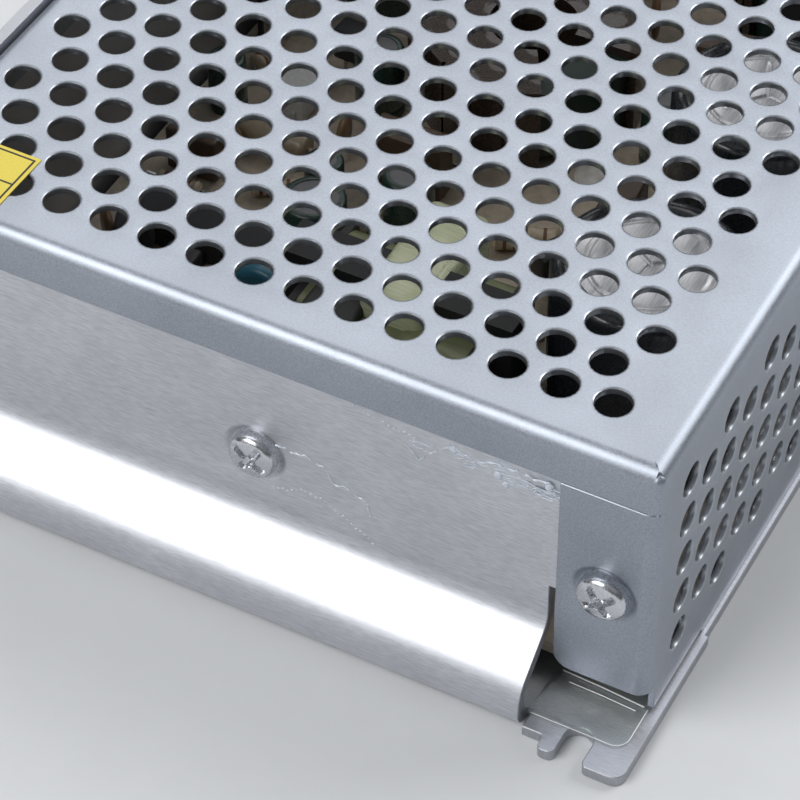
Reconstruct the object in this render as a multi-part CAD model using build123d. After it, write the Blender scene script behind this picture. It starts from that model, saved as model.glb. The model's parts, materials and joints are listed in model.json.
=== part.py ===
from build123d import *
import math
import os

# Frame: millimetres, +Z up, origin under the middle of the base plate.
# The terminals are at the +Y end, the perforated side wall of the cover is at +X.

# Overall sizes
CASE_WIDTH = 97.8
CASE_LENGTH = 159.0
CASE_HEIGHT = 40.4

# Sheets
CHASSIS_SHEET = 1.5
CHASSIS_INNER_BEND = 1.0
COVER_SHEET = 0.8
COVER_INNER_BEND = 1.0
BEND_LAND = 0.5
FLUSH_GAP = 0.25
FACE_GAP = 0.03

# Front end wall of the chassis, with its outward step near the foot
EAR_REACH = 2.05
STEP_SHIFT = 6.72
STEP_ANGLE = 50.0
STEP_BEND = 4.0
STEP_TOP_CORNER_Z = 10.9
NOTCH_WIDTH = 13.2
NOTCH_HEIGHT = 17.0

# Slotted corner ears of the base plate
EAR_WIDTH = 12.6
EAR_STEP = 1.9
SLOT_WIDTH = 3.3
SLOT_DEPTH = 4.75
FINGER_WIDTH = 2.0
FINGER_START = 2.5
EAR_CORNER_RADIUS = 1.5
FINGER_CORNER_RADIUS = 0.7
PLATE_INSET_BEHIND_EAR = 0.4
EAR_EDGE_LENGTH = 22.8
BEND_RELIEF = 0.6

# Cover
COVER_SIDE_INSET = 0.93
TERMINAL_ZONE = 15.84
SKIRT_DEPTH = 6.0
REAR_SKIRT_DEPTH = 16.0
TAB_WIDTH = 11.2
TAB_BOTTOM_Z = 5.9
TAB_CORNER_RADIUS = 2.1
TAB_SEAM = 0.2
CORNER_SEAM = 1.1
SIDE_WALL_BOTTOM_Z = 1.6
SIDE_WALL_NOTCH_RISE = 0.6
SIDE_WALL_SETBACK = 2.3
CHEEK_HEIGHT = 24.0
CHEEK_REACH = 13.3

# Perforation
HOLE_DIAMETER = 4.0
HOLE_PITCH = 6.0
TOP_RIGHT_MARGIN = 9.0
TOP_LEFT_MARGIN = 4.9
TOP_FRONT_MARGIN = 7.41
REAR_MARGIN = 6.5
BLOCK_ROW_COUNT = 8
BLOCK_SHIFT_X = 0.4
BLOCK_SHIFT_Y = 0.5
SIDE_FRONT_MARGIN = 7.9
SIDE_TOP_MARGIN = 7.5
SIDE_ROW_COUNT = 5

# Screws, threads drawn as plain shanks
SCREW_RADIUS = 1.5
THREAD_GAP = 0.03
SCREW_HOLE_GAP = 0.2
HEAD_RADIUS = 2.9
HEAD_HEIGHT = 2.1
HEAD_ROUNDING = 1.1
RECESS_WIDTH = 0.8
RECESS_LENGTH = 3.4
RECESS_DEPTH = 1.3
CSK_RADIUS = 2.7
CSK_DEPTH = 1.3
DIMPLE_DEPTH = 0.6
DIMPLE_FLOOR_RADIUS = 3.1
DIMPLE_MOUTH_RADIUS = 3.9
FRONT_SCREW_Z = 20.0
TAB_SCREW_INSET = 5.7
TAB_SCREW_LENGTH = 6.0
SIDE_SCREW_SPREAD = 104.0
SIDE_SCREW_DROP = 3.4
SIDE_SCREW_LENGTH = 3.6

# Board, its standoffs and the film under it
BOARD_THICKNESS = 1.6
STANDOFF_HEIGHT = 2.5
STANDOFF_RADIUS = 3.0
STANDOFF_SPIGOT_RADIUS = 2.1
BOARD_END_GAP = 0.4
BOARD_SIDE_GAP = 1.3
STANDOFF_INSET_X = 6.0
STANDOFF_INSET_Y = 7.0
BOARD_SCREW_LENGTH = 4.0
FILM_THICKNESS = 0.25
FILM_FRONT_INSET = 3.85
FILM_EAR_INSET = 1.5
FILM_FOOT_GAP = 0.1
FILM_FLAP_HEIGHT = 6.0
FILM_CORNER_RADIUS = 1.6
FILM_HOLE_GAP = 0.4
LEAD_RADIUS = 0.4
LEAD_HOLE_GAP = 0.15
LEAD_TAIL = 1.0
PART_LIFT = 0.3

# Transistors clamped to the front wall and the rectifier clamped to the left wall
PAD_THICKNESS = 0.3
PAD_MARGIN = 1.5
DEVICE_WIDTH = 10.2
DEVICE_BODY_HEIGHT = 9.0
DEVICE_BODY_DEPTH = 4.5
DEVICE_TAB_THICKNESS = 1.3
DEVICE_TAB_HEIGHT = 15.7
DEVICE_TAB_HOLE_RADIUS = 1.8
DEVICE_LEAD_PITCH = 2.54
DEVICE_SPACING = 19.0
DEVICE_BOTTOM_DROP = 4.8
CLAMP_HEIGHT = 9.0
CLAMP_THICKNESS = 1.2
CLAMP_OVERHANG = 1.2
CLAMP_SCREW_SPARE = 0.6

# Places on the board. The first number is the distance from the board's right or left edge,
# or from its middle line. The second is from the board's front edge or from the cover's rear.
BULK_FRONT_FROM_FRONT_RIGHT = (14.6, 30.9)
BULK_REAR_FROM_FRONT_RIGHT = (14.6, 62.8)
MAIN_TRANSFORMER_FROM_FRONT_RIGHT = (39.6, 21.3)
Y_CAPACITOR_FROM_FRONT_RIGHT = (61.5, 27.8)
RESISTORS_FROM_FRONT_RIGHT = ((39.9, 33.8), (39.9, 41.8))
DRIVER_FROM_FRONT_LEFT = (19.1, 11.8)
CONTROL_CHIP_FROM_FRONT_LEFT = (16.1, 37.8)
RESISTOR_FROM_FRONT_LEFT = (14.1, 56.8)
OPTOCOUPLER_FROM_FRONT_LEFT = (13.1, 65.8)
OUTPUT_CAPACITORS_FROM_REAR_LEFT = ((12.1, 41.7), (12.1, 30.7), (12.1, 19.7))
RECTIFIER_FROM_REAR = 53.7
OUTPUT_CHOKE_FROM_REAR_MIDDLE = (-7.0, 51.7)
X_CAPACITOR_FROM_REAR_MIDDLE = (-7.0, 17.7)
Y_CAPACITOR_FROM_REAR_MIDDLE = (-7.0, 26.7)
FUSE_FROM_REAR_MIDDLE = (-4.0, 6.7)
LINE_FILTER_FROM_REAR_RIGHT = (26.4, 22.7)
BRIDGE_FROM_REAR_RIGHT = (14.9, 38.2)
THERMISTOR_FROM_REAR_RIGHT = (9.1, 33.1)

# Capacitors
BULK_RADIUS = 11.0
BULK_HEIGHT = 29.4
SLEEVE_THICKNESS = 0.3
SLEEVE_LIP = 2.4
CAN_ROUNDING = 1.2
VENT_GROOVE_WIDTH = 0.5
VENT_GROOVE_DEPTH = 0.25
BULK_LEAD_PITCH = 10.0
OUTPUT_CAPACITOR_RADIUS = 5.0
OUTPUT_CAPACITOR_HEIGHT = 20.0
OUTPUT_LEAD_PITCH = 5.0
X_CAPACITOR_SIZE = (17.5, 8.0, 14.0)
X_LEAD_PITCH = 15.0
DISC_RADIUS = 4.5
DISC_THICKNESS = 3.4
DISC_LEAD_PITCH = 5.0
THERMISTOR_RADIUS = 6.0
THERMISTOR_THICKNESS = 4.5

# Wound parts
DRIVER_CORE = (17.0, 5.0, 16.0)
DRIVER_CORE_BACK = 2.5
DRIVER_WINDING_DEPTH = 13.0
MAIN_CORE = (29.0, 5.6, 24.4)
MAIN_CORE_BACK = 3.0
MAIN_WINDING_DEPTH = 17.0
BOBBIN_FLANGE = 1.0
WINDING_ROUNDING = 3.0
WINDING_GAP = 0.1
CHOKE_OUTER_RADIUS = 13.0
CHOKE_INNER_RADIUS = 7.0
CHOKE_HEIGHT = 10.0
FILTER_OUTER_RADIUS = 10.0
FILTER_INNER_RADIUS = 5.5
FILTER_HEIGHT = 9.0
WIRE_LAYER = 1.3
TURN_COUNT = 16
TURN_GROOVE = 0.45
CHOKE_WOUND_ANGLE = 300.0
FILTER_WOUND_ANGLE = 130.0

# Small parts
EDGE_ROUNDING_SHARE = 0.3
BRIDGE_SIZE = (20.0, 3.6, 17.0)
BRIDGE_LEAD_PITCH = 5.08
BRIDGE_LIFT = 2.0
FUSE_RADIUS = 2.6
FUSE_LENGTH = 20.0
FUSE_CAP_LENGTH = 5.0
FUSE_CAP_RADIUS = 2.8
CLIP_SHEET = 0.5
CLIP_RISE = 1.5
CHIP_SIZE = (19.3, 6.4, 3.3)
CHIP_SIDE_LEAD_COUNT = 8
OPTO_SIZE = (4.7, 6.4, 3.4)
OPTO_SIDE_LEAD_COUNT = 2
CHIP_LEAD_PITCH = 2.54
CHIP_LEAD_THICKNESS = 0.3
CHIP_LEAD_WIDTH = 0.5
RESISTOR_RADIUS = 2.0
RESISTOR_LENGTH = 11.0
RESISTOR_LEAD_PITCH = 15.0

# Terminal block
WAY_COUNT = 7
WAY_PITCH = 9.5
BARRIER = 1.6
CHEEK = 2.2
TERMINAL_LEFT_GAP = 7.0
TERMINAL_FRONT_GAP = 1.34
TERMINAL_DEPTH = 12.0
TERMINAL_SHELF = 8.0
TERMINAL_BACK = 2.2
TERMINAL_BACK_HEIGHT = 12.8
BARRIER_HEIGHT = 5.2
PLATE_THICKNESS = 0.8
PLATE_GAP = 0.2
TERMINAL_SCREW_RADIUS = 1.75
TERMINAL_HEAD_RADIUS = 3.2
TERMINAL_HEAD_HEIGHT = 1.8
TERMINAL_SCREW_LENGTH = 6.0
HINGE_AXIS_RISE = 14.6
HINGE_AXIS_INSET = 1.4
HINGE_BARREL_RADIUS = 1.4
HINGE_PIN_RADIUS = 0.8
HINGE_PIN_LENGTH = 1.6
HINGE_RUNNING_GAP = 0.06
LID_SHEET = 1.0
LID_SIDE_GAP = 0.3
LID_FRONT_GAP = 0.4
LID_FRONT_DROP = 3.0

# Trimmer and lamp beside the terminals
TRIMMER_SIDE = 6.6
TRIMMER_HEIGHT = 4.4
TRIMMER_ROTOR_RADIUS = 2.2
TRIMMER_ROTOR_HEIGHT = 1.8
TRIMMER_ROTOR_RISE = 0.5
TRIMMER_RUNNING_GAP = 0.05
TRIMMER_SLOT_WIDTH = 0.7
TRIMMER_SLOT_DEPTH = 0.7
TRIMMER_FROM_TERMINAL_BACK = 4.5
LAMP_RADIUS = 1.5
LAMP_HEIGHT = 5.0
LAMP_FLAT_RADIUS = 0.08
LAMP_FLANGE_RADIUS = 1.9
LAMP_FLANGE_HEIGHT = 1.0
LAMP_LEAD_PITCH = 2.0
LAMP_FROM_TRIMMER = 6.5

# Input voltage selector behind a window of the side wall
SELECTOR_LENGTH = 16.0
SELECTOR_DEPTH = 8.0
SELECTOR_HEIGHT = 11.0
SELECTOR_WALL_GAP = 0.7
SELECTOR_FROM_COVER_END = 20.0
SLIDER_LENGTH = 6.0
SLIDER_HEIGHT = 5.4
SLIDER_DEPTH = 4.6
SLIDER_TRAVEL = 4.0
SLIDER_GAP = 0.15
SLIDER_FACE_INSET = 0.5
SLIDER_SLOT = 1.2
WINDOW_MARGIN = 0.5
WINDOW_LAND = 1.5

# Sticker on the top
LABEL_WIDTH = 12.4
LABEL_DEPTH = 9.4
LABEL_THICKNESS = 0.12
LABEL_RIGHT_FROM_COVER_EDGE = 14.75
LABEL_BACK_FROM_FRONT = 11.9

# Worked out from the sizes above
HALF_WIDTH = CASE_WIDTH / 2
HALF_LENGTH = CASE_LENGTH / 2
PLATE_BEND = CHASSIS_INNER_BEND + CHASSIS_SHEET
LIP_OUTER_Y = -HALF_LENGTH + EAR_REACH
LIP_MID_Y = LIP_OUTER_Y + CHASSIS_SHEET / 2
WALL_MID_Y = LIP_MID_Y + STEP_SHIFT
WALL_OUTER_Y = WALL_MID_Y - CHASSIS_SHEET / 2
WALL_INNER_Y = WALL_MID_Y + CHASSIS_SHEET / 2
COVER_TOP_UNDER_Z = CASE_HEIGHT - COVER_SHEET
WALL_TOP_Z = COVER_TOP_UNDER_Z - COVER_INNER_BEND - FACE_GAP
LEFT_WALL_INNER_X = -HALF_WIDTH + CHASSIS_SHEET
COVER_FRONT_Y = WALL_OUTER_Y - COVER_SHEET - FACE_GAP
COVER_REAR_Y = HALF_LENGTH - TERMINAL_ZONE
COVER_RIGHT_X = HALF_WIDTH - COVER_SIDE_INSET
COVER_LEFT_X = LEFT_WALL_INNER_X + FLUSH_GAP
COVER_BEND = COVER_INNER_BEND + COVER_SHEET
SIDE_INNER_X = COVER_RIGHT_X - COVER_SHEET
SKIRT_BOTTOM_Z = CASE_HEIGHT - SKIRT_DEPTH
TAB_LEFT_X = COVER_RIGHT_X - TAB_WIDTH
TAB_SCREW_X = COVER_RIGHT_X - TAB_SCREW_INSET
EAR_INNER_X = HALF_WIDTH - EAR_WIDTH
NOTCH_X = HALF_WIDTH - NOTCH_WIDTH
BOARD_BOTTOM_Z = CHASSIS_SHEET + STANDOFF_HEIGHT
BOARD_TOP_Z = BOARD_BOTTOM_Z + BOARD_THICKNESS
BOARD_LEFT_X = LEFT_WALL_INNER_X + BOARD_SIDE_GAP
BOARD_RIGHT_X = SIDE_INNER_X - BOARD_SIDE_GAP
BOARD_FRONT_Y = WALL_INNER_Y + BOARD_END_GAP
BOARD_REAR_Y = HALF_LENGTH - EAR_REACH - BOARD_END_GAP
ROW_STEP = HOLE_PITCH * math.sqrt(3) / 2
TERMINAL_LENGTH = WAY_COUNT * WAY_PITCH + 2 * CHEEK - BARRIER
TERMINAL_LEFT_X = BOARD_LEFT_X + TERMINAL_LEFT_GAP
TERMINAL_RIGHT_X = TERMINAL_LEFT_X + TERMINAL_LENGTH
TERMINAL_FRONT_Y = COVER_REAR_Y + TERMINAL_FRONT_GAP
TERMINAL_END_Y = TERMINAL_FRONT_Y + TERMINAL_DEPTH
SHELF_Z = BOARD_TOP_Z + TERMINAL_SHELF
FIRST_WAY_X = TERMINAL_LEFT_X + CHEEK + (WAY_PITCH - BARRIER) / 2
PLATE_TOP_Z = SHELF_Z + PLATE_THICKNESS
HINGE_Y = TERMINAL_FRONT_Y + HINGE_AXIS_INSET
HINGE_Z = BOARD_TOP_Z + HINGE_AXIS_RISE
SIDE_COLUMN_X = (TERMINAL_RIGHT_X + SIDE_INNER_X) / 2
TRIMMER_Y = TERMINAL_FRONT_Y + TRIMMER_FROM_TERMINAL_BACK
LAMP_Y = TRIMMER_Y + LAMP_FROM_TRIMMER
SELECTOR_Y = COVER_REAR_Y - SELECTOR_FROM_COVER_END
SELECTOR_FACE_X = SIDE_INNER_X - SELECTOR_WALL_GAP
SELECTOR_MID_Z = BOARD_TOP_Z + SELECTOR_HEIGHT / 2
DEVICE_BOTTOM_Z = FRONT_SCREW_Z - DEVICE_BOTTOM_DROP
CLAMP_FACE = PAD_THICKNESS + DEVICE_BODY_DEPTH

STANDING = (Align.CENTER, Align.CENTER, Align.MIN)
HANGING = (Align.CENTER, Align.CENTER, Align.MAX)


def block(x_span, y_span, z_span):
    """A box between two values on each axis."""
    size = [high - low for low, high in (x_span, y_span, z_span)]
    place = (x_span[0], y_span[0], z_span[0])
    return Pos(*place) * Box(*size, align=(Align.MIN, Align.MIN, Align.MIN))


def beside(points, distance):
    """Corners of the path that runs to the left of an open path, by a signed distance."""
    path = [Vector(*point) for point in points]
    normals = []
    for start, end in zip(path, path[1:]):
        along = (end - start).normalized()
        normals.append(Vector(-along.Y, along.X))
    corners = [path[0] + normals[0] * distance]
    for corner, before, after in zip(path[1:-1], normals, normals[1:]):
        corners.append(corner + (before + after) * (distance / (1 + before.dot(after))))
    corners.append(path[-1] + normals[-1] * distance)
    return corners


def bend_radii(points, mid_radii, distance):
    """Bend radii of the path beside an open path, from those of the path itself."""
    path = [Vector(*point) for point in points]
    radii = []
    for first, corner, last, radius in zip(path, path[1:], path[2:], mid_radii):
        turn = (corner - first).cross(last - corner).Z
        radii.append(radius - distance * math.copysign(1, turn))
    return radii


def folded_section(points, mid_radii, sheet):
    """Section of a folded sheet whose middle follows the points, with a radius at each bend."""
    half = sheet / 2
    left = beside(points, half)
    right = beside(points, -half)
    left_path = FilletPolyline(*left, radius=bend_radii(points, mid_radii, half))
    right_path = FilletPolyline(*right, radius=bend_radii(points, mid_radii, -half))
    ends = [Line(left[-1], right[-1]), Line(right[0], left[0])]
    edges = [*left_path.edges(), ends[0], *right_path.edges(), ends[1]]
    return Face(Wire([edge for edge in edges]))


def along_x(section, x_span):
    """A Y-Z section drawn out along X."""
    placed = Plane.YZ.offset(x_span[0]) * section
    return extrude(placed, amount=x_span[1] - x_span[0], dir=(1, 0, 0))


def along_y(section, y_span):
    """An X-Z section drawn out along Y."""
    placed = Plane.XZ.offset(-y_span[0]) * section
    return extrude(placed, amount=y_span[1] - y_span[0], dir=(0, 1, 0))


def outline(points):
    """A flat face inside a closed row of corners."""
    return Face(Wire.make_polygon([Vector(*point) for point in points], close=True))


def perforated(points, centres):
    """A flat face inside a closed row of corners, less round holes."""
    rim = Wire.make_polygon([Vector(*point) for point in points], close=True)
    holes = [Wire.make_circle(HOLE_DIAMETER / 2, Plane(origin=(x, y, 0))) for x, y in centres]
    return Face(rim, holes)


def rounded_sheet(points, radii, thickness):
    """A flat sheet with a radius at each of its corners, none where the radius is zero."""
    sheet = outline(points)
    for point, radius in zip(points, radii):
        if radius:
            corner = sheet.vertices().sort_by_distance((*point, 0))[0]
            sheet = fillet(corner, radius)
    return extrude(sheet, amount=thickness, dir=(0, 0, 1))


def front_facing(shape, x, y, z):
    """Turns a shape made along +Z so that it points to -Y at a place."""
    return Pos(x, y, z) * Rot(90, 0, 0) * shape


def left_facing(shape, x, y, z):
    """Turns a shape made along +Z so that it points to -X at a place."""
    return Pos(x, y, z) * Rot(0, -90, 0) * shape


def cross_recess():
    """The cross-shaped driver recess of a screw, its mouth at Z = 0."""
    arm = Box(RECESS_LENGTH, RECESS_WIDTH, RECESS_DEPTH, align=HANGING)
    core = Cone(RECESS_WIDTH / 2, RECESS_WIDTH, RECESS_DEPTH, align=HANGING)
    return arm + Rot(0, 0, 90) * arm + core


def pan_screw(length):
    """A pan head screw that points down, with its seat at Z = 0."""
    head = Cylinder(HEAD_RADIUS, HEAD_HEIGHT, align=STANDING)
    head = fillet(head.edges().group_by(Axis.Z)[-1], HEAD_ROUNDING)
    shank = Cylinder(SCREW_RADIUS, length, align=HANGING)
    return head + shank - Pos(0, 0, HEAD_HEIGHT) * cross_recess()


def flush_screw(length):
    """A countersunk screw that points down, with its head level with Z = 0."""
    head = Cone(SCREW_RADIUS, CSK_RADIUS, CSK_DEPTH, align=HANGING)
    shank = Cylinder(SCREW_RADIUS, length, align=HANGING)
    return head + shank - cross_recess()


def dimple(gap=0.0):
    """The dish that is pressed into a sheet around a screw, its mouth at Z = 0."""
    floor_radius = DIMPLE_FLOOR_RADIUS + gap
    mouth_radius = DIMPLE_MOUTH_RADIUS + gap
    return Cone(floor_radius, mouth_radius, DIMPLE_DEPTH + gap, align=HANGING)


def front_right(place):
    """A place on the board from its right edge and its front edge."""
    return BOARD_RIGHT_X - place[0], BOARD_FRONT_Y + place[1]


def front_left(place):
    """A place on the board from its left edge and its front edge."""
    return BOARD_LEFT_X + place[0], BOARD_FRONT_Y + place[1]


def rear_right(place):
    """A place on the board from its right edge and the cover's rear."""
    return BOARD_RIGHT_X - place[0], COVER_REAR_Y - place[1]


def rear_left(place):
    """A place on the board from its left edge and the cover's rear."""
    return BOARD_LEFT_X + place[0], COVER_REAR_Y - place[1]


def rear_middle(place):
    """A place on the board from the middle line and the cover's rear."""
    return place[0], COVER_REAR_Y - place[1]


def pair(place, pitch, turned=False):
    """Two lead places either side of a place, along X or, turned, along Y."""
    x, y = place
    half = pitch / 2
    if turned:
        return [(x, y - half), (x, y + half)]
    return [(x - half, y), (x + half, y)]


def leads(places, top_z):
    """Round leads from just under the board up to a height."""
    bottom_z = BOARD_BOTTOM_Z - LEAD_TAIL
    lead = Cylinder(LEAD_RADIUS, top_z - bottom_z, align=STANDING)
    return [Pos(x, y, bottom_z) * lead for x, y in places]


def chassis_plate():
    """The base plate with its four slotted ears."""
    ear_edge_y = -HALF_LENGTH + EAR_EDGE_LENGTH
    inner_x = HALF_WIDTH - PLATE_INSET_BEHIND_EAR
    bend_y = LIP_OUTER_Y + PLATE_BEND
    left_x = -HALF_WIDTH + PLATE_BEND
    plate = block((left_x, inner_x), (bend_y, -bend_y), (0, CHASSIS_SHEET))
    front_right = chassis_ear(ear_edge_y)
    front_left = mirror(chassis_ear(WALL_OUTER_Y), Plane.YZ)
    plate += front_right + front_left
    plate += mirror(front_right, Plane.XZ) + mirror(front_left, Plane.XZ)
    rear_edge = block((-EAR_INNER_X, EAR_INNER_X), (-bend_y, -LIP_OUTER_Y), (0, CHASSIS_SHEET))
    return plate + rear_edge


def chassis_ear(edge_end_y):
    """The front right ear: a finger, an open slot and a broad tab with round corners."""
    tip_y = -HALF_LENGTH
    finger_x = EAR_INNER_X + FINGER_START
    slot_x = finger_x + FINGER_WIDTH
    tab_x = slot_x + SLOT_WIDTH
    step_y = tip_y + EAR_STEP
    slot_centre_y = tip_y + SLOT_DEPTH - SLOT_WIDTH / 2
    corners = [
        (EAR_INNER_X, edge_end_y), (EAR_INNER_X, step_y), (finger_x, step_y), (finger_x, tip_y),
        (slot_x, tip_y), (slot_x, slot_centre_y), (tab_x, slot_centre_y), (tab_x, tip_y),
        (HALF_WIDTH, tip_y), (HALF_WIDTH, edge_end_y),
    ]
    finger, tab = FINGER_CORNER_RADIUS, EAR_CORNER_RADIUS
    radii = [0, 0, 0, finger, finger, 0, 0, finger, tab, 0]
    ear = rounded_sheet(corners, radii, CHASSIS_SHEET)
    round_end = Cylinder(SLOT_WIDTH / 2, CHASSIS_SHEET, align=STANDING)
    return ear - Pos((slot_x + tab_x) / 2, slot_centre_y, 0) * round_end


def chassis_front_wall():
    """The front wall, which steps outwards near its foot and turns under into the plate."""
    mid_z = CHASSIS_SHEET / 2
    step_rise = STEP_SHIFT / math.tan(math.radians(STEP_ANGLE))
    lower_corner_z = STEP_TOP_CORNER_Z - step_rise
    points = [
        (LIP_OUTER_Y + 2 * PLATE_BEND, mid_z), (LIP_MID_Y, mid_z), (LIP_MID_Y, lower_corner_z),
        (WALL_MID_Y, STEP_TOP_CORNER_Z), (WALL_MID_Y, WALL_TOP_Z),
    ]
    radii = [CHASSIS_INNER_BEND + mid_z, STEP_BEND, STEP_BEND]
    wall = along_x(folded_section(points, radii, CHASSIS_SHEET), (-NOTCH_X, NOTCH_X))
    right_x = SIDE_INNER_X - COVER_INNER_BEND - FACE_GAP
    left_x = LEFT_WALL_INNER_X + FLUSH_GAP
    upper = block((left_x, right_x), (WALL_OUTER_Y, WALL_INNER_Y), (NOTCH_HEIGHT, WALL_TOP_Z))
    return wall + upper


def chassis_left_wall():
    """The left wall, which turns up out of the plate and ends level with the cover."""
    mid = CHASSIS_SHEET / 2
    points = [
        (-HALF_WIDTH + 2 * PLATE_BEND, mid), (-HALF_WIDTH + mid, mid),
        (-HALF_WIDTH + mid, CASE_HEIGHT),
    ]
    section = folded_section(points, [CHASSIS_INNER_BEND + mid], CHASSIS_SHEET)
    end_y = -WALL_OUTER_Y - BEND_RELIEF
    wall = along_y(section, (-end_y, end_y))
    return wall - block((-HALF_WIDTH, LEFT_WALL_INNER_X), (COVER_REAR_Y + FLUSH_GAP, end_y),
                        (CHEEK_HEIGHT, CASE_HEIGHT))


def chassis():
    """Base plate, front wall and left wall, folded from one sheet."""
    body = chassis_plate() + chassis_front_wall() + chassis_left_wall()
    relief_y = (LIP_OUTER_Y + PLATE_BEND, WALL_OUTER_Y)
    for side in (-1, 1):
        relief_x = sorted((side * NOTCH_X, side * EAR_INNER_X))
        body -= block(relief_x, (-HALF_LENGTH, relief_y[0]), (0, CHASSIS_SHEET))
    tapped = Cylinder(SCREW_RADIUS + THREAD_GAP, 4 * CHASSIS_SHEET)
    for x in (0, TAB_SCREW_X):
        gap = THREAD_GAP if x else 0.0
        body -= front_facing(dimple(gap), x, WALL_OUTER_Y, FRONT_SCREW_Z)
        body += front_facing(dimple(), x, WALL_INNER_Y, FRONT_SCREW_Z)
        body -= front_facing(tapped, x, WALL_INNER_Y, FRONT_SCREW_Z)
    sink = Cone(SCREW_RADIUS + THREAD_GAP, CSK_RADIUS + THREAD_GAP, CSK_DEPTH, align=HANGING)
    clear = Cylinder(SCREW_RADIUS + THREAD_GAP, 2 * CHASSIS_SHEET, align=HANGING)
    for y in side_screw_places():
        body -= left_facing(sink + clear, -HALF_WIDTH, y, CASE_HEIGHT - SIDE_SCREW_DROP)
    body -= left_facing(tapped, LEFT_WALL_INNER_X, rectifier_y(), rectifier_screw_z())
    spigot = Cylinder(STANDOFF_SPIGOT_RADIUS + THREAD_GAP, CHASSIS_SHEET, align=STANDING)
    for x, y in standoff_places():
        body -= Pos(x, y, 0) * spigot
    return body


def side_screw_places():
    """Places along Y of the screws that hold the cover's left edge."""
    middle = (COVER_FRONT_Y + COVER_REAR_Y) / 2
    return [middle - SIDE_SCREW_SPREAD / 2, middle + SIDE_SCREW_SPREAD / 2]


def standoff_places():
    """The four standoffs near the board's corners."""
    x_low, x_high = BOARD_LEFT_X + STANDOFF_INSET_X, BOARD_RIGHT_X - STANDOFF_INSET_X
    y_low, y_high = BOARD_FRONT_Y + STANDOFF_INSET_Y, COVER_REAR_Y - STANDOFF_INSET_Y
    return [(x, y) for x in (x_low, x_high) for y in (y_low, y_high)]


def rectifier_y():
    """Place along Y of the rectifier and its clamp screw on the left wall."""
    return COVER_REAR_Y - RECTIFIER_FROM_REAR


def top_holes():
    """Centres of the holes in the top, in punched blocks of rows that sit a little apart."""
    length = COVER_REAR_Y - COVER_FRONT_Y - TOP_FRONT_MARGIN - REAR_MARGIN
    width = COVER_RIGHT_X - COVER_LEFT_X - TOP_RIGHT_MARGIN - TOP_LEFT_MARGIN - HOLE_PITCH / 2
    seams = int(length / (BLOCK_ROW_COUNT * ROW_STEP))
    rows = int((length - seams * BLOCK_SHIFT_Y) / ROW_STEP) + 1
    holes_in_row = int(width / HOLE_PITCH) + 1
    centres = []
    for row in range(rows):
        stroke = row // BLOCK_ROW_COUNT
        y = COVER_FRONT_Y + TOP_FRONT_MARGIN + row * ROW_STEP + stroke * BLOCK_SHIFT_Y
        start = COVER_RIGHT_X - TOP_RIGHT_MARGIN - (row % 2) * HOLE_PITCH / 2
        shift = BLOCK_SHIFT_X if stroke else 0
        centres += [(start - hole * HOLE_PITCH + shift, y) for hole in range(holes_in_row)]
    return centres


def side_holes():
    """Centres of the holes in the side wall as Y and Z, clear of the selector's window."""
    (low_y, high_y), (low_z, high_z) = window_spans()
    reach = HOLE_DIAMETER / 2 + WINDOW_LAND
    length = COVER_REAR_Y - COVER_FRONT_Y - SIDE_FRONT_MARGIN - REAR_MARGIN
    centres = []
    for column in range(int(length / ROW_STEP) + 1):
        odd = column % 2
        y = COVER_FRONT_Y + SIDE_FRONT_MARGIN + column * ROW_STEP
        for row in range(SIDE_ROW_COUNT - odd):
            z = CASE_HEIGHT - SIDE_TOP_MARGIN - (row + odd / 2) * HOLE_PITCH
            beside_y = low_y - reach < y < high_y + reach
            beside_z = low_z - reach < z < high_z + reach
            if not (beside_y and beside_z):
                centres.append((y, z))
    return centres


def window_spans():
    """Y and Z spans of the selector's window."""
    half = (SLIDER_LENGTH + SLIDER_TRAVEL) / 2 + SLIDER_GAP + WINDOW_MARGIN
    rise = SLIDER_HEIGHT / 2 + SLIDER_GAP + WINDOW_MARGIN
    return (
        (SELECTOR_Y - half, SELECTOR_Y + half),
        (SELECTOR_MID_Z - rise, SELECTOR_MID_Z + rise),
    )


def edge_skirt(depth, outer, side):
    """Section of a skirt that turns down out of the top, as across and Z, at an outer face."""
    mid = COVER_SHEET / 2
    points = [
        (outer + side * (COVER_BEND + BEND_LAND), CASE_HEIGHT - mid),
        (outer + side * mid, CASE_HEIGHT - mid), (outer + side * mid, CASE_HEIGHT - depth),
    ]
    return folded_section(points, [COVER_INNER_BEND + mid], COVER_SHEET)


def cover_side_wall():
    """The perforated side wall, with a notch for the ear and a low cheek at the terminals."""
    front_y = COVER_FRONT_Y + COVER_BEND
    foot_y = COVER_FRONT_Y + SIDE_WALL_SETBACK
    notch_end_y = -HALF_LENGTH + EAR_EDGE_LENGTH
    top_z = CASE_HEIGHT - COVER_BEND
    seam_y = COVER_FRONT_Y + CORNER_SEAM
    cheek_y = COVER_REAR_Y + CHEEK_REACH
    notch_z = SIDE_WALL_BOTTOM_Z + SIDE_WALL_NOTCH_RISE
    corners = [
        (foot_y, notch_z), (notch_end_y, notch_z), (notch_end_y, SIDE_WALL_BOTTOM_Z),
        (cheek_y, SIDE_WALL_BOTTOM_Z), (cheek_y, CHEEK_HEIGHT), (COVER_REAR_Y, CHEEK_HEIGHT),
        (COVER_REAR_Y, top_z), (seam_y, top_z), (seam_y, SKIRT_BOTTOM_Z - TAB_SEAM),
        (front_y, SKIRT_BOTTOM_Z - TAB_SEAM), (front_y, TAB_BOTTOM_Z), (foot_y, TAB_BOTTOM_Z),
    ]
    wall = along_x(perforated(corners, side_holes()), (SIDE_INNER_X, COVER_RIGHT_X))
    spans = window_spans()
    return wall - block((SIDE_INNER_X, COVER_RIGHT_X), spans[0], spans[1])


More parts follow.
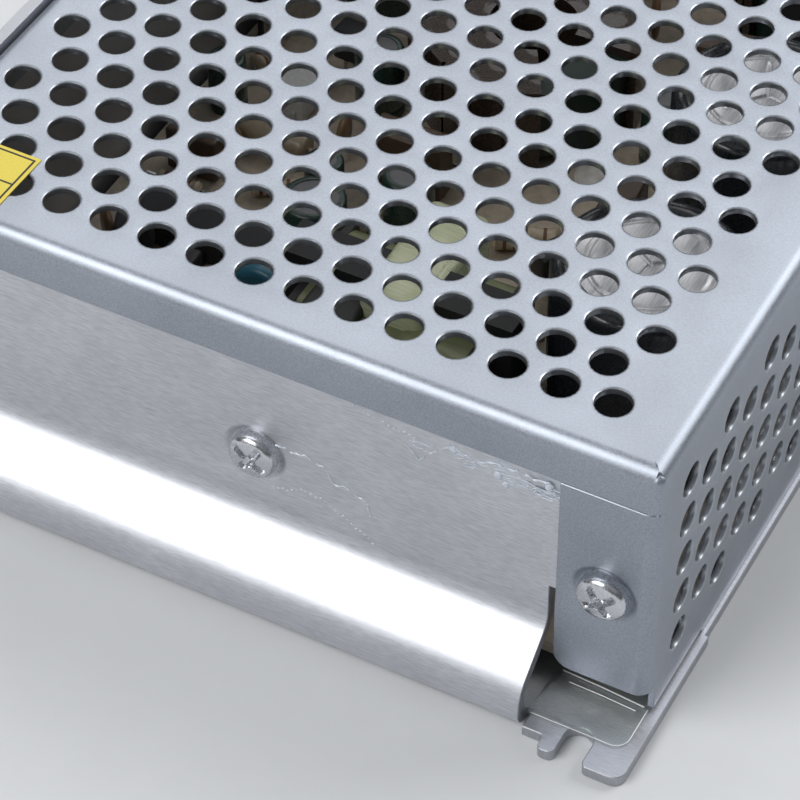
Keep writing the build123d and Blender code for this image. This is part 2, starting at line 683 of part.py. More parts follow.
def cover_tab():
    """The tab that wraps from the side wall onto the front and is screwed there."""
    mid = COVER_SHEET / 2
    points = [
        (COVER_RIGHT_X - mid, COVER_FRONT_Y + 2 * COVER_BEND),
        (COVER_RIGHT_X - mid, COVER_FRONT_Y + mid), (TAB_LEFT_X, COVER_FRONT_Y + mid),
    ]
    section = folded_section(points, [COVER_INNER_BEND + mid], COVER_SHEET)
    height = SKIRT_BOTTOM_Z - TAB_SEAM - TAB_BOTTOM_Z
    tab = Pos(0, 0, TAB_BOTTOM_Z) * extrude(section, amount=height, dir=(0, 0, 1))
    corner = tab.edges().filter_by(Axis.Y).group_by(Axis.X)[0].group_by(Axis.Z)[0]
    return fillet(corner, TAB_CORNER_RADIUS)


def cover():
    """Top, side wall, skirts and tab, folded from one perforated sheet."""
    low_x, high_x = COVER_LEFT_X + COVER_BEND, COVER_RIGHT_X - COVER_BEND
    low_y, high_y = COVER_FRONT_Y + COVER_BEND, COVER_REAR_Y - COVER_BEND
    rim = [(low_x, low_y), (high_x, low_y), (high_x, high_y), (low_x, high_y)]
    top = extrude(perforated(rim, top_holes()), amount=COVER_SHEET, dir=(0, 0, 1))
    body = Pos(0, 0, COVER_TOP_UNDER_Z) * top
    skirt_x = (low_x, COVER_RIGHT_X - CORNER_SEAM)
    body += along_x(edge_skirt(SKIRT_DEPTH, COVER_FRONT_Y, 1), skirt_x)
    body += along_x(edge_skirt(REAR_SKIRT_DEPTH, COVER_REAR_Y, -1), skirt_x)
    left_y = (WALL_INNER_Y + FLUSH_GAP, high_y)
    body += along_y(edge_skirt(SKIRT_DEPTH, COVER_LEFT_X, 1), left_y)
    side_y = (COVER_FRONT_Y + CORNER_SEAM, COVER_REAR_Y - CORNER_SEAM)
    body += along_y(edge_skirt(2 * COVER_BEND, COVER_RIGHT_X, -1), side_y)
    body += cover_side_wall() + cover_tab()
    dish_y = COVER_FRONT_Y
    body -= front_facing(dimple(), TAB_SCREW_X, dish_y, FRONT_SCREW_Z)
    body += front_facing(dimple(), TAB_SCREW_X, dish_y + COVER_SHEET, FRONT_SCREW_Z)
    clear = Cylinder(SCREW_RADIUS + SCREW_HOLE_GAP, 4 * COVER_SHEET)
    body -= front_facing(clear, TAB_SCREW_X, dish_y + COVER_SHEET, FRONT_SCREW_Z)
    tapped = Cylinder(SCREW_RADIUS + THREAD_GAP, 4 * COVER_SHEET)
    for y in side_screw_places():
        body -= left_facing(tapped, COVER_LEFT_X, y, CASE_HEIGHT - SIDE_SCREW_DROP)
    return body


def insulation_film():
    """The clear film between the plate and the board, with one side turned up."""
    front_y = -HALF_LENGTH + FILM_FRONT_INSET
    foot_y = LIP_OUTER_Y + PLATE_BEND + FILM_FOOT_GAP
    foot_x = NOTCH_X + FILM_FOOT_GAP
    ear_x = HALF_WIDTH - FILM_EAR_INSET
    right_x = SIDE_INNER_X - FLUSH_GAP
    left_x = -HALF_WIDTH + PLATE_BEND
    rear_y = BOARD_REAR_Y
    step_y = COVER_FRONT_Y + SIDE_WALL_SETBACK - FLUSH_GAP
    left_step_y = WALL_OUTER_Y
    corners = [
        (-ear_x, front_y), (-foot_x, front_y), (-foot_x, foot_y), (foot_x, foot_y),
        (foot_x, front_y), (ear_x, front_y), (ear_x, step_y), (right_x, step_y),
        (right_x, rear_y), (left_x, rear_y), (left_x, left_step_y), (-ear_x, left_step_y),
    ]
    radii = [FILM_CORNER_RADIUS, 0, 0, 0, 0, FILM_CORNER_RADIUS, 0, 0, 0, 0, 0, 0]
    film = rounded_sheet(corners, radii, FILM_THICKNESS)
    flap_y = (step_y + FILM_CORNER_RADIUS, COVER_REAR_Y)
    film += block((right_x - FILM_THICKNESS, right_x), flap_y, (0, FILM_FLAP_HEIGHT))
    hole = Cylinder(STANDOFF_RADIUS + FILM_HOLE_GAP, 2 * FILM_THICKNESS)
    for x, y in standoff_places():
        film -= Pos(x, y, 0) * hole
    return Pos(0, 0, CHASSIS_SHEET) * film


def standoff(x, y):
    """A standoff riveted into the plate, tapped for the board screw."""
    body = Cylinder(STANDOFF_RADIUS, STANDOFF_HEIGHT, align=STANDING)
    body = Pos(0, 0, CHASSIS_SHEET) * body
    body += Cylinder(STANDOFF_SPIGOT_RADIUS, CHASSIS_SHEET, align=STANDING)
    tapped = Cylinder(SCREW_RADIUS + THREAD_GAP, BOARD_BOTTOM_Z, align=STANDING)
    return Pos(x, y, 0) * (body - tapped)


def capacitor_can(radius, height):
    """A bare round can with a rounded top edge and a scored cross in its top."""
    can = Cylinder(radius, height, align=STANDING)
    can = fillet(can.edges().group_by(Axis.Z)[-1], CAN_ROUNDING)
    groove = Box(radius, VENT_GROOVE_WIDTH, 2 * VENT_GROOVE_DEPTH)
    grooves = groove + Rot(0, 0, 90) * groove
    return can - Pos(0, 0, height) * Rot(0, 0, 45) * grooves


def capacitor_sleeve(radius, height):
    """The shrunk sleeve around a can, with a narrow lip over its top."""
    sleeve = Cylinder(radius + SLEEVE_THICKNESS, height + SLEEVE_THICKNESS, align=STANDING)
    sleeve = fillet(sleeve.edges().group_by(Axis.Z)[-1], CAN_ROUNDING + SLEEVE_THICKNESS)
    can = Cylinder(radius, height, align=STANDING)
    can = fillet(can.edges().group_by(Axis.Z)[-1], CAN_ROUNDING)
    mouth = Cylinder(radius - SLEEVE_LIP, 2 * height, align=STANDING)
    return sleeve - can - mouth


def bulk_capacitor(place):
    """The can with its leads, and the sleeve, of one input capacitor."""
    x, y = place
    core_radius = BULK_RADIUS - SLEEVE_THICKNESS
    height = BULK_HEIGHT - SLEEVE_THICKNESS
    where = Pos(x, y, BOARD_TOP_Z)
    can = where * capacitor_can(core_radius, height)
    for lead in leads(pair((x, y), BULK_LEAD_PITCH), BOARD_TOP_Z):
        can += lead
    return can, where * capacitor_sleeve(core_radius, height)


def output_capacitor(place):
    """One sealed output capacitor with its leads."""
    x, y = place
    can = capacitor_can(OUTPUT_CAPACITOR_RADIUS, OUTPUT_CAPACITOR_HEIGHT)
    body = Pos(x, y, BOARD_TOP_Z) * can
    for lead in leads(pair((x, y), OUTPUT_LEAD_PITCH, True), BOARD_TOP_Z):
        body += lead
    return body


def wound_core(size, back):
    """A closed ferrite core whose middle leg runs along X through the winding."""
    length, depth, height = size
    core = Box(length, depth, height, align=STANDING)
    window_z = (height - depth) / 2 - back
    window = Box(length - 2 * back, 2 * depth, window_z, align=STANDING)
    for low_z in (back, (height + depth) / 2):
        core -= Pos(0, 0, low_z) * window
    return core


def wound_parts(place, size, back, winding_depth):
    """Core, bobbin and taped winding of a transformer that stands on the board."""
    x, y = place
    length, depth, height = size
    wide = length - 2 * back - 2 * WINDING_GAP
    low_z = back + WINDING_GAP
    tall = height - 2 * low_z
    leg = depth + 2 * WINDING_GAP
    tube_side = leg + 2 * BOBBIN_FLANGE
    middle = Pos(0, 0, height / 2)
    flange = Box(BOBBIN_FLANGE, winding_depth, low_z + tall, align=STANDING)
    bobbin = middle * Box(wide, tube_side, tube_side)
    for side in (-1, 1):
        bobbin += Pos(side * (wide - BOBBIN_FLANGE) / 2, 0, 0) * flange
    bobbin -= middle * Box(2 * wide, leg, leg)
    bobbin -= Box(2 * wide, leg, low_z, align=STANDING)
    tape = Box(wide - 2 * BOBBIN_FLANGE, winding_depth, tall)
    tape = fillet(tape.edges().filter_by(Axis.X), WINDING_ROUNDING)
    tape = middle * (tape - Box(2 * wide, tube_side, tube_side))
    where = Pos(x, y, BOARD_TOP_Z)
    return where * wound_core(size, back), where * bobbin, where * tape


def ring(outer, inner, height):
    """A flat ring that stands on Z = 0."""
    return Cylinder(outer, height, align=STANDING) - Cylinder(inner, height, align=STANDING)


def winding_layer(outer, inner, height, start_angle, wound_angle):
    """One wire layer around part of a ring core, grooved between its turns."""
    shell = ring(outer + WIRE_LAYER, inner - WIRE_LAYER, height + 2 * WIRE_LAYER)
    shell = Pos(0, 0, -WIRE_LAYER) * shell
    shell -= ring(outer, inner, height)
    step = wound_angle / TURN_COUNT
    reach = outer + 2 * WIRE_LAYER
    unwound = 360 - wound_angle
    slices = max(1, math.ceil(unwound / 90))
    for index in range(slices):
        angle = start_angle + wound_angle + (index + 0.5) * unwound / slices
        half = math.radians(unwound / slices / 2)
        wedge = outline([(0, 0), (2 * reach, -2 * reach * math.tan(half)),
                         (2 * reach, 2 * reach * math.tan(half))])
        wedge = Pos(0, 0, -height) * extrude(wedge, amount=3 * height, dir=(0, 0, 1))
        shell -= Rot(0, 0, angle) * wedge
    groove = Box(2 * TURN_GROOVE, TURN_GROOVE, height + 4 * WIRE_LAYER, align=STANDING)
    groove = Pos(outer + WIRE_LAYER, 0, -2 * WIRE_LAYER) * groove
    for turn in range(1, TURN_COUNT):
        shell -= Rot(0, 0, start_angle + turn * step) * groove
    return shell


def output_choke():
    """Ring core and winding of the output choke, lying on the board."""
    x, y = rear_middle(OUTPUT_CHOKE_FROM_REAR_MIDDLE)
    where = Pos(x, y, BOARD_TOP_Z + PART_LIFT + WIRE_LAYER)
    core = ring(CHOKE_OUTER_RADIUS, CHOKE_INNER_RADIUS, CHOKE_HEIGHT)
    layer = winding_layer(CHOKE_OUTER_RADIUS, CHOKE_INNER_RADIUS, CHOKE_HEIGHT, 0,
                          CHOKE_WOUND_ANGLE)
    return where * core, where * layer


def line_filter():
    """Ring core and the two windings of the mains filter choke."""
    x, y = rear_right(LINE_FILTER_FROM_REAR_RIGHT)
    where = Pos(x, y, BOARD_TOP_Z + PART_LIFT + WIRE_LAYER)
    core = ring(FILTER_OUTER_RADIUS, FILTER_INNER_RADIUS, FILTER_HEIGHT)
    layers = [
        where * winding_layer(FILTER_OUTER_RADIUS, FILTER_INNER_RADIUS, FILTER_HEIGHT,
                              start - FILTER_WOUND_ANGLE / 2, FILTER_WOUND_ANGLE)
        for start in (0, 180)
    ]
    return where * core, layers


def x_capacitor():
    """The boxed mains capacitor."""
    x, y = rear_middle(X_CAPACITOR_FROM_REAR_MIDDLE)
    body = Box(*X_CAPACITOR_SIZE, align=STANDING)
    body = fillet(body.edges().filter_by(Axis.Z), PART_LIFT)
    body = Pos(x, y, BOARD_TOP_Z) * body
    for lead in leads(pair((x, y), X_LEAD_PITCH), BOARD_TOP_Z):
        body += lead
    return body


def disc_part(place, radius, thickness):
    """A dipped disc that stands on its two leads."""
    x, y = place
    centre_z = BOARD_TOP_Z + BRIDGE_LIFT + radius
    disc = Cylinder(radius, thickness)
    disc = fillet(disc.edges(), thickness * EDGE_ROUNDING_SHARE)
    body = Pos(x, y, centre_z) * Rot(90, 0, 0) * disc
    for lead in leads(pair(place, DISC_LEAD_PITCH), centre_z):
        body += lead
    return body


def bridge_rectifier():
    """The upright four-lead bridge rectifier."""
    x, y = rear_right(BRIDGE_FROM_REAR_RIGHT)
    body = Box(*BRIDGE_SIZE, align=STANDING)
    body = chamfer(body.edges().filter_by(Axis.Y).group_by(Axis.Z)[-1].sort_by(Axis.X)[-1],
                   BRIDGE_LIFT)
    body = Pos(x, y, BOARD_TOP_Z + BRIDGE_LIFT) * body
    for lead in leads(bridge_leads(), BOARD_TOP_Z + BRIDGE_LIFT):
        body += lead
    return body


def bridge_leads():
    """Lead places of the bridge rectifier."""
    x, y = rear_right(BRIDGE_FROM_REAR_RIGHT)
    return [(x + (index - 1.5) * BRIDGE_LEAD_PITCH, y) for index in range(4)]


def fuse():
    """The glass fuse with its two metal caps, as one sealed piece."""
    x, y = rear_middle(FUSE_FROM_REAR_MIDDLE)
    z = fuse_height()
    tube = Cylinder(FUSE_RADIUS, FUSE_LENGTH)
    cap = Cylinder(FUSE_CAP_RADIUS, FUSE_CAP_LENGTH)
    shift = (FUSE_LENGTH - FUSE_CAP_LENGTH) / 2
    return Pos(x, y, z) * Rot(0, 90, 0) * (tube + Pos(0, 0, shift) * cap + Pos(0, 0, -shift) * cap)


def fuse_height():
    """Height of the fuse's axis."""
    return BOARD_TOP_Z + CLIP_SHEET + CLIP_RISE + FUSE_CAP_RADIUS


def fuse_clips():
    """The two sprung clips that hold the fuse."""
    x, y = rear_middle(FUSE_FROM_REAR_MIDDLE)
    z = fuse_height()
    shift = (FUSE_LENGTH - FUSE_CAP_LENGTH) / 2
    inner = FUSE_CAP_RADIUS + THREAD_GAP
    outer = FUSE_CAP_RADIUS + CLIP_SHEET
    length = FUSE_CAP_LENGTH - CLIP_SHEET
    clip = Rot(0, 90, 0) * Cylinder(outer, length)
    foot = block((-length / 2, length / 2), (-outer / 2, outer / 2), (BOARD_TOP_Z - z, 0))
    clip += foot
    clip -= Rot(0, 90, 0) * Cylinder(inner, FUSE_LENGTH)
    clip -= Pos(0, 0, outer) * Box(FUSE_LENGTH, 2 * outer, outer)
    return [Pos(x + side * shift, y, z) * clip for side in (-1, 1)]


def dual_in_line(place, size, side_lead_count):
    """A dual-in-line chip with bent leads that stand on the board."""
    x, y = place
    length, width, height = size
    body = Pos(0, 0, PART_LIFT) * Box(length, width, height, align=STANDING)
    half_height = PART_LIFT + height / 2
    for side in (-1, 1):
        for index in range(side_lead_count):
            pin_x = (index - (side_lead_count - 1) / 2) * CHIP_LEAD_PITCH
            pin_y = side * (width / 2 + CHIP_LEAD_THICKNESS)
            pin = Box(CHIP_LEAD_WIDTH, 2 * CHIP_LEAD_THICKNESS, half_height, align=STANDING)
            body += Pos(pin_x, pin_y, 0) * pin
    return Pos(x, y, BOARD_TOP_Z) * body


def resistor(place):
    """An axial resistor that lies on the board with its leads bent down."""
    x, y = place
    z = BOARD_TOP_Z + RESISTOR_RADIUS
    body = Rot(0, 90, 0) * Cylinder(RESISTOR_RADIUS, RESISTOR_LENGTH)
    body = Pos(x, y, z) * fillet(body.edges(), RESISTOR_RADIUS * EDGE_ROUNDING_SHARE)
    body += Pos(x, y, z) * Rot(0, 90, 0) * Cylinder(LEAD_RADIUS, RESISTOR_LEAD_PITCH)
    for lead in leads(pair((x, y), RESISTOR_LEAD_PITCH), z):
        body += lead
    return body


def device_leads():
    """Lead places of the two transistors, whose backs are on the front wall's pad."""
    y = WALL_INNER_Y + PAD_THICKNESS + 2 * DEVICE_TAB_THICKNESS
    places = []
    for side in (-1, 1):
        centre = side * DEVICE_SPACING / 2
        places.append([(centre + index * DEVICE_LEAD_PITCH, y) for index in (-1, 0, 1)])
    return places


def power_device():
    """A transistor in its flat package, back at Y = 0, its body's foot at Z = 0."""
    tab = block((-DEVICE_WIDTH / 2, DEVICE_WIDTH / 2), (0, DEVICE_TAB_THICKNESS),
                (0, DEVICE_TAB_HEIGHT))
    hole_z = DEVICE_TAB_HEIGHT - (DEVICE_TAB_HEIGHT - DEVICE_BODY_HEIGHT) / 2
    hole = Cylinder(DEVICE_TAB_HOLE_RADIUS, 4 * DEVICE_TAB_THICKNESS)
    tab -= front_facing(hole, 0, 0, hole_z)
    body = block((-DEVICE_WIDTH / 2, DEVICE_WIDTH / 2), (DEVICE_TAB_THICKNESS, DEVICE_BODY_DEPTH),
                 (0, DEVICE_BODY_HEIGHT))
    return tab + body


def transistors():
    """The two transistors on the front wall, each with three leads."""
    back_y = WALL_INNER_Y + PAD_THICKNESS
    devices = []
    for side, places in zip((-1, 1), device_leads()):
        device = Pos(side * DEVICE_SPACING / 2, back_y, DEVICE_BOTTOM_Z) * power_device()
        for lead in leads(places, DEVICE_BOTTOM_Z):
            device += lead
        devices.append(device)
    return devices


def transistor_pad():
    """The insulating pad between the transistors and the front wall."""
    half = DEVICE_SPACING / 2 + DEVICE_WIDTH / 2 + PAD_MARGIN
    heights = (DEVICE_BOTTOM_Z - PAD_MARGIN, DEVICE_BOTTOM_Z + DEVICE_TAB_HEIGHT + PAD_MARGIN)
    pad = block((-half, half), (WALL_INNER_Y, WALL_INNER_Y + PAD_THICKNESS), heights)
    hole = Cylinder(DIMPLE_MOUTH_RADIUS + SCREW_HOLE_GAP, 4 * PAD_THICKNESS)
    return pad - front_facing(hole, 0, WALL_INNER_Y, FRONT_SCREW_Z)


def transistor_clamp():
    """The steel bar that the wall screw pulls onto both transistors."""
    half = DEVICE_SPACING / 2 + DEVICE_WIDTH / 2 + CLAMP_OVERHANG
    face_y = WALL_INNER_Y + CLAMP_FACE
    heights = (FRONT_SCREW_Z - CLAMP_HEIGHT / 2, FRONT_SCREW_Z + CLAMP_HEIGHT / 2)
    bar = block((-half, half), (face_y, face_y + CLAMP_THICKNESS), heights)
    hole = Cylinder(SCREW_RADIUS + THREAD_GAP, 4 * CLAMP_THICKNESS)
    return bar - front_facing(hole, 0, face_y, FRONT_SCREW_Z)


def rectifier():
    """The output rectifier on the left wall, with its pad, clamp and screw."""
    y = rectifier_y()
    back_x = LEFT_WALL_INNER_X + PAD_THICKNESS
    device = Pos(back_x, y, DEVICE_BOTTOM_Z) * Rot(0, 0, -90) * power_device()
    for lead in leads(rectifier_leads(), DEVICE_BOTTOM_Z):
        device += lead
    half = DEVICE_WIDTH / 2 + PAD_MARGIN
    heights = (DEVICE_BOTTOM_Z - PAD_MARGIN, DEVICE_BOTTOM_Z + DEVICE_TAB_HEIGHT + PAD_MARGIN)
    pad = block((LEFT_WALL_INNER_X, back_x), (y - half, y + half), heights)
    screw_z = rectifier_screw_z()
    hole = left_facing(Cylinder(DEVICE_TAB_HOLE_RADIUS, 4 * PAD_THICKNESS), back_x, y, screw_z)
    seat_x = back_x + DEVICE_TAB_THICKNESS
    screw = Pos(seat_x, y, screw_z) * Rot(0, 90, 0) * pan_screw(rectifier_screw_length())
    return device, pad - hole, screw


def rectifier_leads():
    """Lead places of the rectifier."""
    x = LEFT_WALL_INNER_X + PAD_THICKNESS + 2 * DEVICE_TAB_THICKNESS
    return [(x, rectifier_y() + index * DEVICE_LEAD_PITCH) for index in (-1, 0, 1)]


def rectifier_screw_z():
    """Height of the screw through the rectifier's tab."""
    return DEVICE_BOTTOM_Z + (DEVICE_TAB_HEIGHT + DEVICE_BODY_HEIGHT) / 2


def rectifier_screw_length():
    """Length that ends the screw inside the left wall."""
    return DEVICE_TAB_THICKNESS + PAD_THICKNESS + CHASSIS_SHEET - THREAD_GAP


def bulk_places():
    """Places of the two input capacitors."""
    return [front_right(BULK_FRONT_FROM_FRONT_RIGHT), front_right(BULK_REAR_FROM_FRONT_RIGHT)]


def output_capacitor_places():
    """Places of the output capacitors."""
    return [rear_left(place) for place in OUTPUT_CAPACITORS_FROM_REAR_LEFT]


def disc_places():
    """Places of the two disc capacitors and of the thermistor."""
    return [
        front_right(Y_CAPACITOR_FROM_FRONT_RIGHT), rear_middle(Y_CAPACITOR_FROM_REAR_MIDDLE),
        rear_right(THERMISTOR_FROM_REAR_RIGHT),
    ]


def resistor_places():
    """Places of the resistors."""
    places = [front_right(place) for place in RESISTORS_FROM_FRONT_RIGHT]
    return places + [front_left(RESISTOR_FROM_FRONT_LEFT)]


def all_lead_places():
    """Every place where a lead passes through the board."""
    pitched = [(place, BULK_LEAD_PITCH) for place in bulk_places()]
    pitched += [(place, DISC_LEAD_PITCH) for place in disc_places()]
    pitched += [(place, RESISTOR_LEAD_PITCH) for place in resistor_places()]
    pitched.append((rear_middle(X_CAPACITOR_FROM_REAR_MIDDLE), X_LEAD_PITCH))
    pitched.append(((SIDE_COLUMN_X, LAMP_Y), LAMP_LEAD_PITCH))
    places = bridge_leads() + rectifier_leads()
    for place, pitch in pitched:
        places += pair(place, pitch)
    for place in output_capacitor_places():
        places += pair(place, OUTPUT_LEAD_PITCH, True)
    for group in device_leads():
        places += group
    return places


def board():
    """The circuit board with its screw holes and lead holes."""
    x_span, y_span = (BOARD_LEFT_X, BOARD_RIGHT_X), (BOARD_FRONT_Y, BOARD_REAR_Y)
    rim = outline([(x_span[0], y_span[0]), (x_span[1], y_span[0]),
                   (x_span[1], y_span[1]), (x_span[0], y_span[1])]).outer_wire()
    holes = [Wire.make_circle(SCREW_RADIUS + SCREW_HOLE_GAP, Plane(origin=(x, y, 0)))
             for x, y in standoff_places()]
    holes += [Wire.make_circle(LEAD_RADIUS + LEAD_HOLE_GAP, Plane(origin=(x, y, 0)))
              for x, y in all_lead_places()]
    plate = extrude(Face(rim, holes), amount=BOARD_THICKNESS, dir=(0, 0, 1))
    return Pos(0, 0, BOARD_BOTTOM_Z) * plate


def way_places():
    """Places along X of the terminal ways."""
    return [FIRST_WAY_X + index * WAY_PITCH for index in range(WAY_COUNT)]


def terminal_screw_y():
    """Place along Y of the terminal screws."""
    return (TERMINAL_FRONT_Y + TERMINAL_BACK + TERMINAL_END_Y) / 2


def terminal_body():
    """The moulded block with a back wall, barriers between the ways and cheeks for the lid."""
    x_span = (TERMINAL_LEFT_X, TERMINAL_RIGHT_X)
    y_span = (TERMINAL_FRONT_Y, TERMINAL_END_Y)
    body = block(x_span, y_span, (BOARD_TOP_Z, SHELF_Z))
    back_y = (TERMINAL_FRONT_Y, TERMINAL_FRONT_Y + TERMINAL_BACK)
    body += block(x_span, back_y, (SHELF_Z, BOARD_TOP_Z + TERMINAL_BACK_HEIGHT))
    barrier_z = (SHELF_Z, SHELF_Z + BARRIER_HEIGHT)
    for x in way_places()[:-1]:
        left = x + (WAY_PITCH - BARRIER) / 2
        body += block((left, left + BARRIER), y_span, barrier_z)
    for left in (TERMINAL_LEFT_X, TERMINAL_RIGHT_X - CHEEK):
        cheek_x = (left, left + CHEEK)
        body += block(cheek_x, y_span, barrier_z)
        knuckle = Rot(0, 90, 0) * Cylinder(2 * HINGE_BARREL_RADIUS, CHEEK)
        knuckle = Pos(left + CHEEK / 2, HINGE_Y, HINGE_Z) * knuckle
        stem_y = (TERMINAL_FRONT_Y, HINGE_Y + 2 * HINGE_BARREL_RADIUS)
        stem = block(cheek_x, stem_y, (SHELF_Z, HINGE_Z))
        trim = block(cheek_x, (0, TERMINAL_FRONT_Y), (SHELF_Z, CASE_HEIGHT))
        body += stem + (knuckle - trim)
    bore = Rot(0, 90, 0) * Cylinder(HINGE_PIN_RADIUS + HINGE_RUNNING_GAP, 2 * TERMINAL_LENGTH)
    body -= Pos(0, HINGE_Y, HINGE_Z) * bore
    tapped = Cylinder(TERMINAL_SCREW_RADIUS + THREAD_GAP, TERMINAL_SCREW_LENGTH, align=HANGING)
    for x in way_places():
        body -= Pos(x, terminal_screw_y(), PLATE_TOP_Z) * tapped
    return body


def terminal_plates():
    """The contact plates that lie between the barriers."""
    width = WAY_PITCH - BARRIER - 2 * PLATE_GAP
    y_span = (TERMINAL_FRONT_Y + TERMINAL_BACK + PLATE_GAP, TERMINAL_END_Y - PLATE_GAP)
    hole = Cylinder(TERMINAL_SCREW_RADIUS + THREAD_GAP, 4 * PLATE_THICKNESS)
    plates = []
    for x in way_places():
        plate = block((x - width / 2, x + width / 2), y_span, (SHELF_Z, PLATE_TOP_Z))
        plates.append(plate - Pos(x, terminal_screw_y(), SHELF_Z) * hole)
    return plates


def terminal_screws():
    """The terminal screws with their cross recesses."""
    head = Cylinder(TERMINAL_HEAD_RADIUS, TERMINAL_HEAD_HEIGHT, align=STANDING)
    rounding = TERMINAL_HEAD_HEIGHT * EDGE_ROUNDING_SHARE
    head = fillet(head.edges().group_by(Axis.Z)[-1], rounding)
    shank_length = TERMINAL_SCREW_LENGTH - THREAD_GAP
    shank = Cylinder(TERMINAL_SCREW_RADIUS, shank_length, align=HANGING)
    screw = head + shank - Pos(0, 0, TERMINAL_HEAD_HEIGHT) * cross_recess()
    return [Pos(x, terminal_screw_y(), PLATE_TOP_Z) * screw for x in way_places()]


def terminal_lid():
    """The clear lid: a hinge barrel with two pins, a flat sheet and a front lip."""
    inner = (TERMINAL_LEFT_X + CHEEK + LID_SIDE_GAP, TERMINAL_RIGHT_X - CHEEK - LID_SIDE_GAP)
    length = inner[1] - inner[0]
    middle = (inner[0] + inner[1]) / 2
    pin_length = length + 2 * (LID_SIDE_GAP + HINGE_PIN_LENGTH)
    barrel = Cylinder(HINGE_BARREL_RADIUS, length) + Cylinder(HINGE_PIN_RADIUS, pin_length)
    lid = Pos(middle, HINGE_Y, HINGE_Z) * Rot(0, 90, 0) * barrel
    top_z = HINGE_Z + HINGE_BARREL_RADIUS
    lip_y = TERMINAL_END_Y + LID_FRONT_GAP
    lid += block(inner, (HINGE_Y, lip_y + LID_SHEET), (top_z - LID_SHEET, top_z))
    lid += block(inner, (lip_y, lip_y + LID_SHEET), (top_z - LID_FRONT_DROP, top_z))
    return lid


def trimmer():
    """Body and slotted rotor of the output trimmer."""
    body = Box(TRIMMER_SIDE, TRIMMER_SIDE, TRIMMER_HEIGHT, align=STANDING)
    seat_z = TRIMMER_HEIGHT - TRIMMER_ROTOR_HEIGHT + TRIMMER_ROTOR_RISE
    bore = Cylinder(TRIMMER_ROTOR_RADIUS + TRIMMER_RUNNING_GAP, TRIMMER_HEIGHT, align=STANDING)
    body -= Pos(0, 0, seat_z - TRIMMER_RUNNING_GAP) * bore
    rotor = Cylinder(TRIMMER_ROTOR_RADIUS, TRIMMER_ROTOR_HEIGHT, align=STANDING)
    slot = Box(3 * TRIMMER_ROTOR_RADIUS, TRIMMER_SLOT_WIDTH, 2 * TRIMMER_SLOT_DEPTH)
    rotor = Pos(0, 0, seat_z) * (rotor - Pos(0, 0, TRIMMER_ROTOR_HEIGHT) * slot)
    where = Pos(SIDE_COLUMN_X, TRIMMER_Y, BOARD_TOP_Z)
    return where * body, where * rotor


def indicator_lamp():
    """The round lamp beside the trimmer."""
    lens = Cylinder(LAMP_RADIUS, LAMP_HEIGHT, align=STANDING)
    lens = fillet(lens.edges().group_by(Axis.Z)[-1], LAMP_RADIUS - LAMP_FLAT_RADIUS)
    lens += Cylinder(LAMP_FLANGE_RADIUS, LAMP_FLANGE_HEIGHT, align=STANDING)
    lamp = Pos(SIDE_COLUMN_X, LAMP_Y, BOARD_TOP_Z) * lens
    for lead in leads(pair((SIDE_COLUMN_X, LAMP_Y), LAMP_LEAD_PITCH), BOARD_TOP_Z):
        lamp += lead
    return lamp


def selector():
    """Body and slider of the input voltage selector, which faces the side wall's window."""
    x_span = (SELECTOR_FACE_X - SELECTOR_DEPTH, SELECTOR_FACE_X)
    y_span = (SELECTOR_Y - SELECTOR_LENGTH / 2, SELECTOR_Y + SELECTOR_LENGTH / 2)
    body = block(x_span, y_span, (BOARD_TOP_Z, BOARD_TOP_Z + SELECTOR_HEIGHT))
    half = (SLIDER_LENGTH + SLIDER_TRAVEL) / 2 + SLIDER_GAP
    rise = SLIDER_HEIGHT / 2 + SLIDER_GAP
    floor_x = SELECTOR_FACE_X - SLIDER_FACE_INSET - SLIDER_DEPTH - SLIDER_GAP
    body -= block((floor_x, SELECTOR_FACE_X), (SELECTOR_Y - half, SELECTOR_Y + half),
                  (SELECTOR_MID_Z - rise, SELECTOR_MID_Z + rise))
    start = SELECTOR_Y - SLIDER_TRAVEL / 2
    face_x = SELECTOR_FACE_X - SLIDER_FACE_INSET
    slider = block((face_x - SLIDER_DEPTH, face_x),
                   (start - SLIDER_LENGTH / 2, start + SLIDER_LENGTH / 2),
                   (SELECTOR_MID_Z - SLIDER_HEIGHT / 2, SELECTOR_MID_Z + SLIDER_HEIGHT / 2))
    slot = Box(SLIDER_SLOT, SLIDER_SLOT, 2 * SLIDER_HEIGHT)
    return body, slider - Pos(face_x, start, SELECTOR_MID_Z) * slot


def label():
    """The paper sticker on the top, near the front left corner."""
    back_y = COVER_FRONT_Y + LABEL_BACK_FROM_FRONT
    right_x = COVER_LEFT_X + LABEL_RIGHT_FROM_COVER_EDGE
    return block((right_x - LABEL_WIDTH, right_x), (back_y - LABEL_DEPTH, back_y),
                 (CASE_HEIGHT, CASE_HEIGHT + LABEL_THICKNESS))


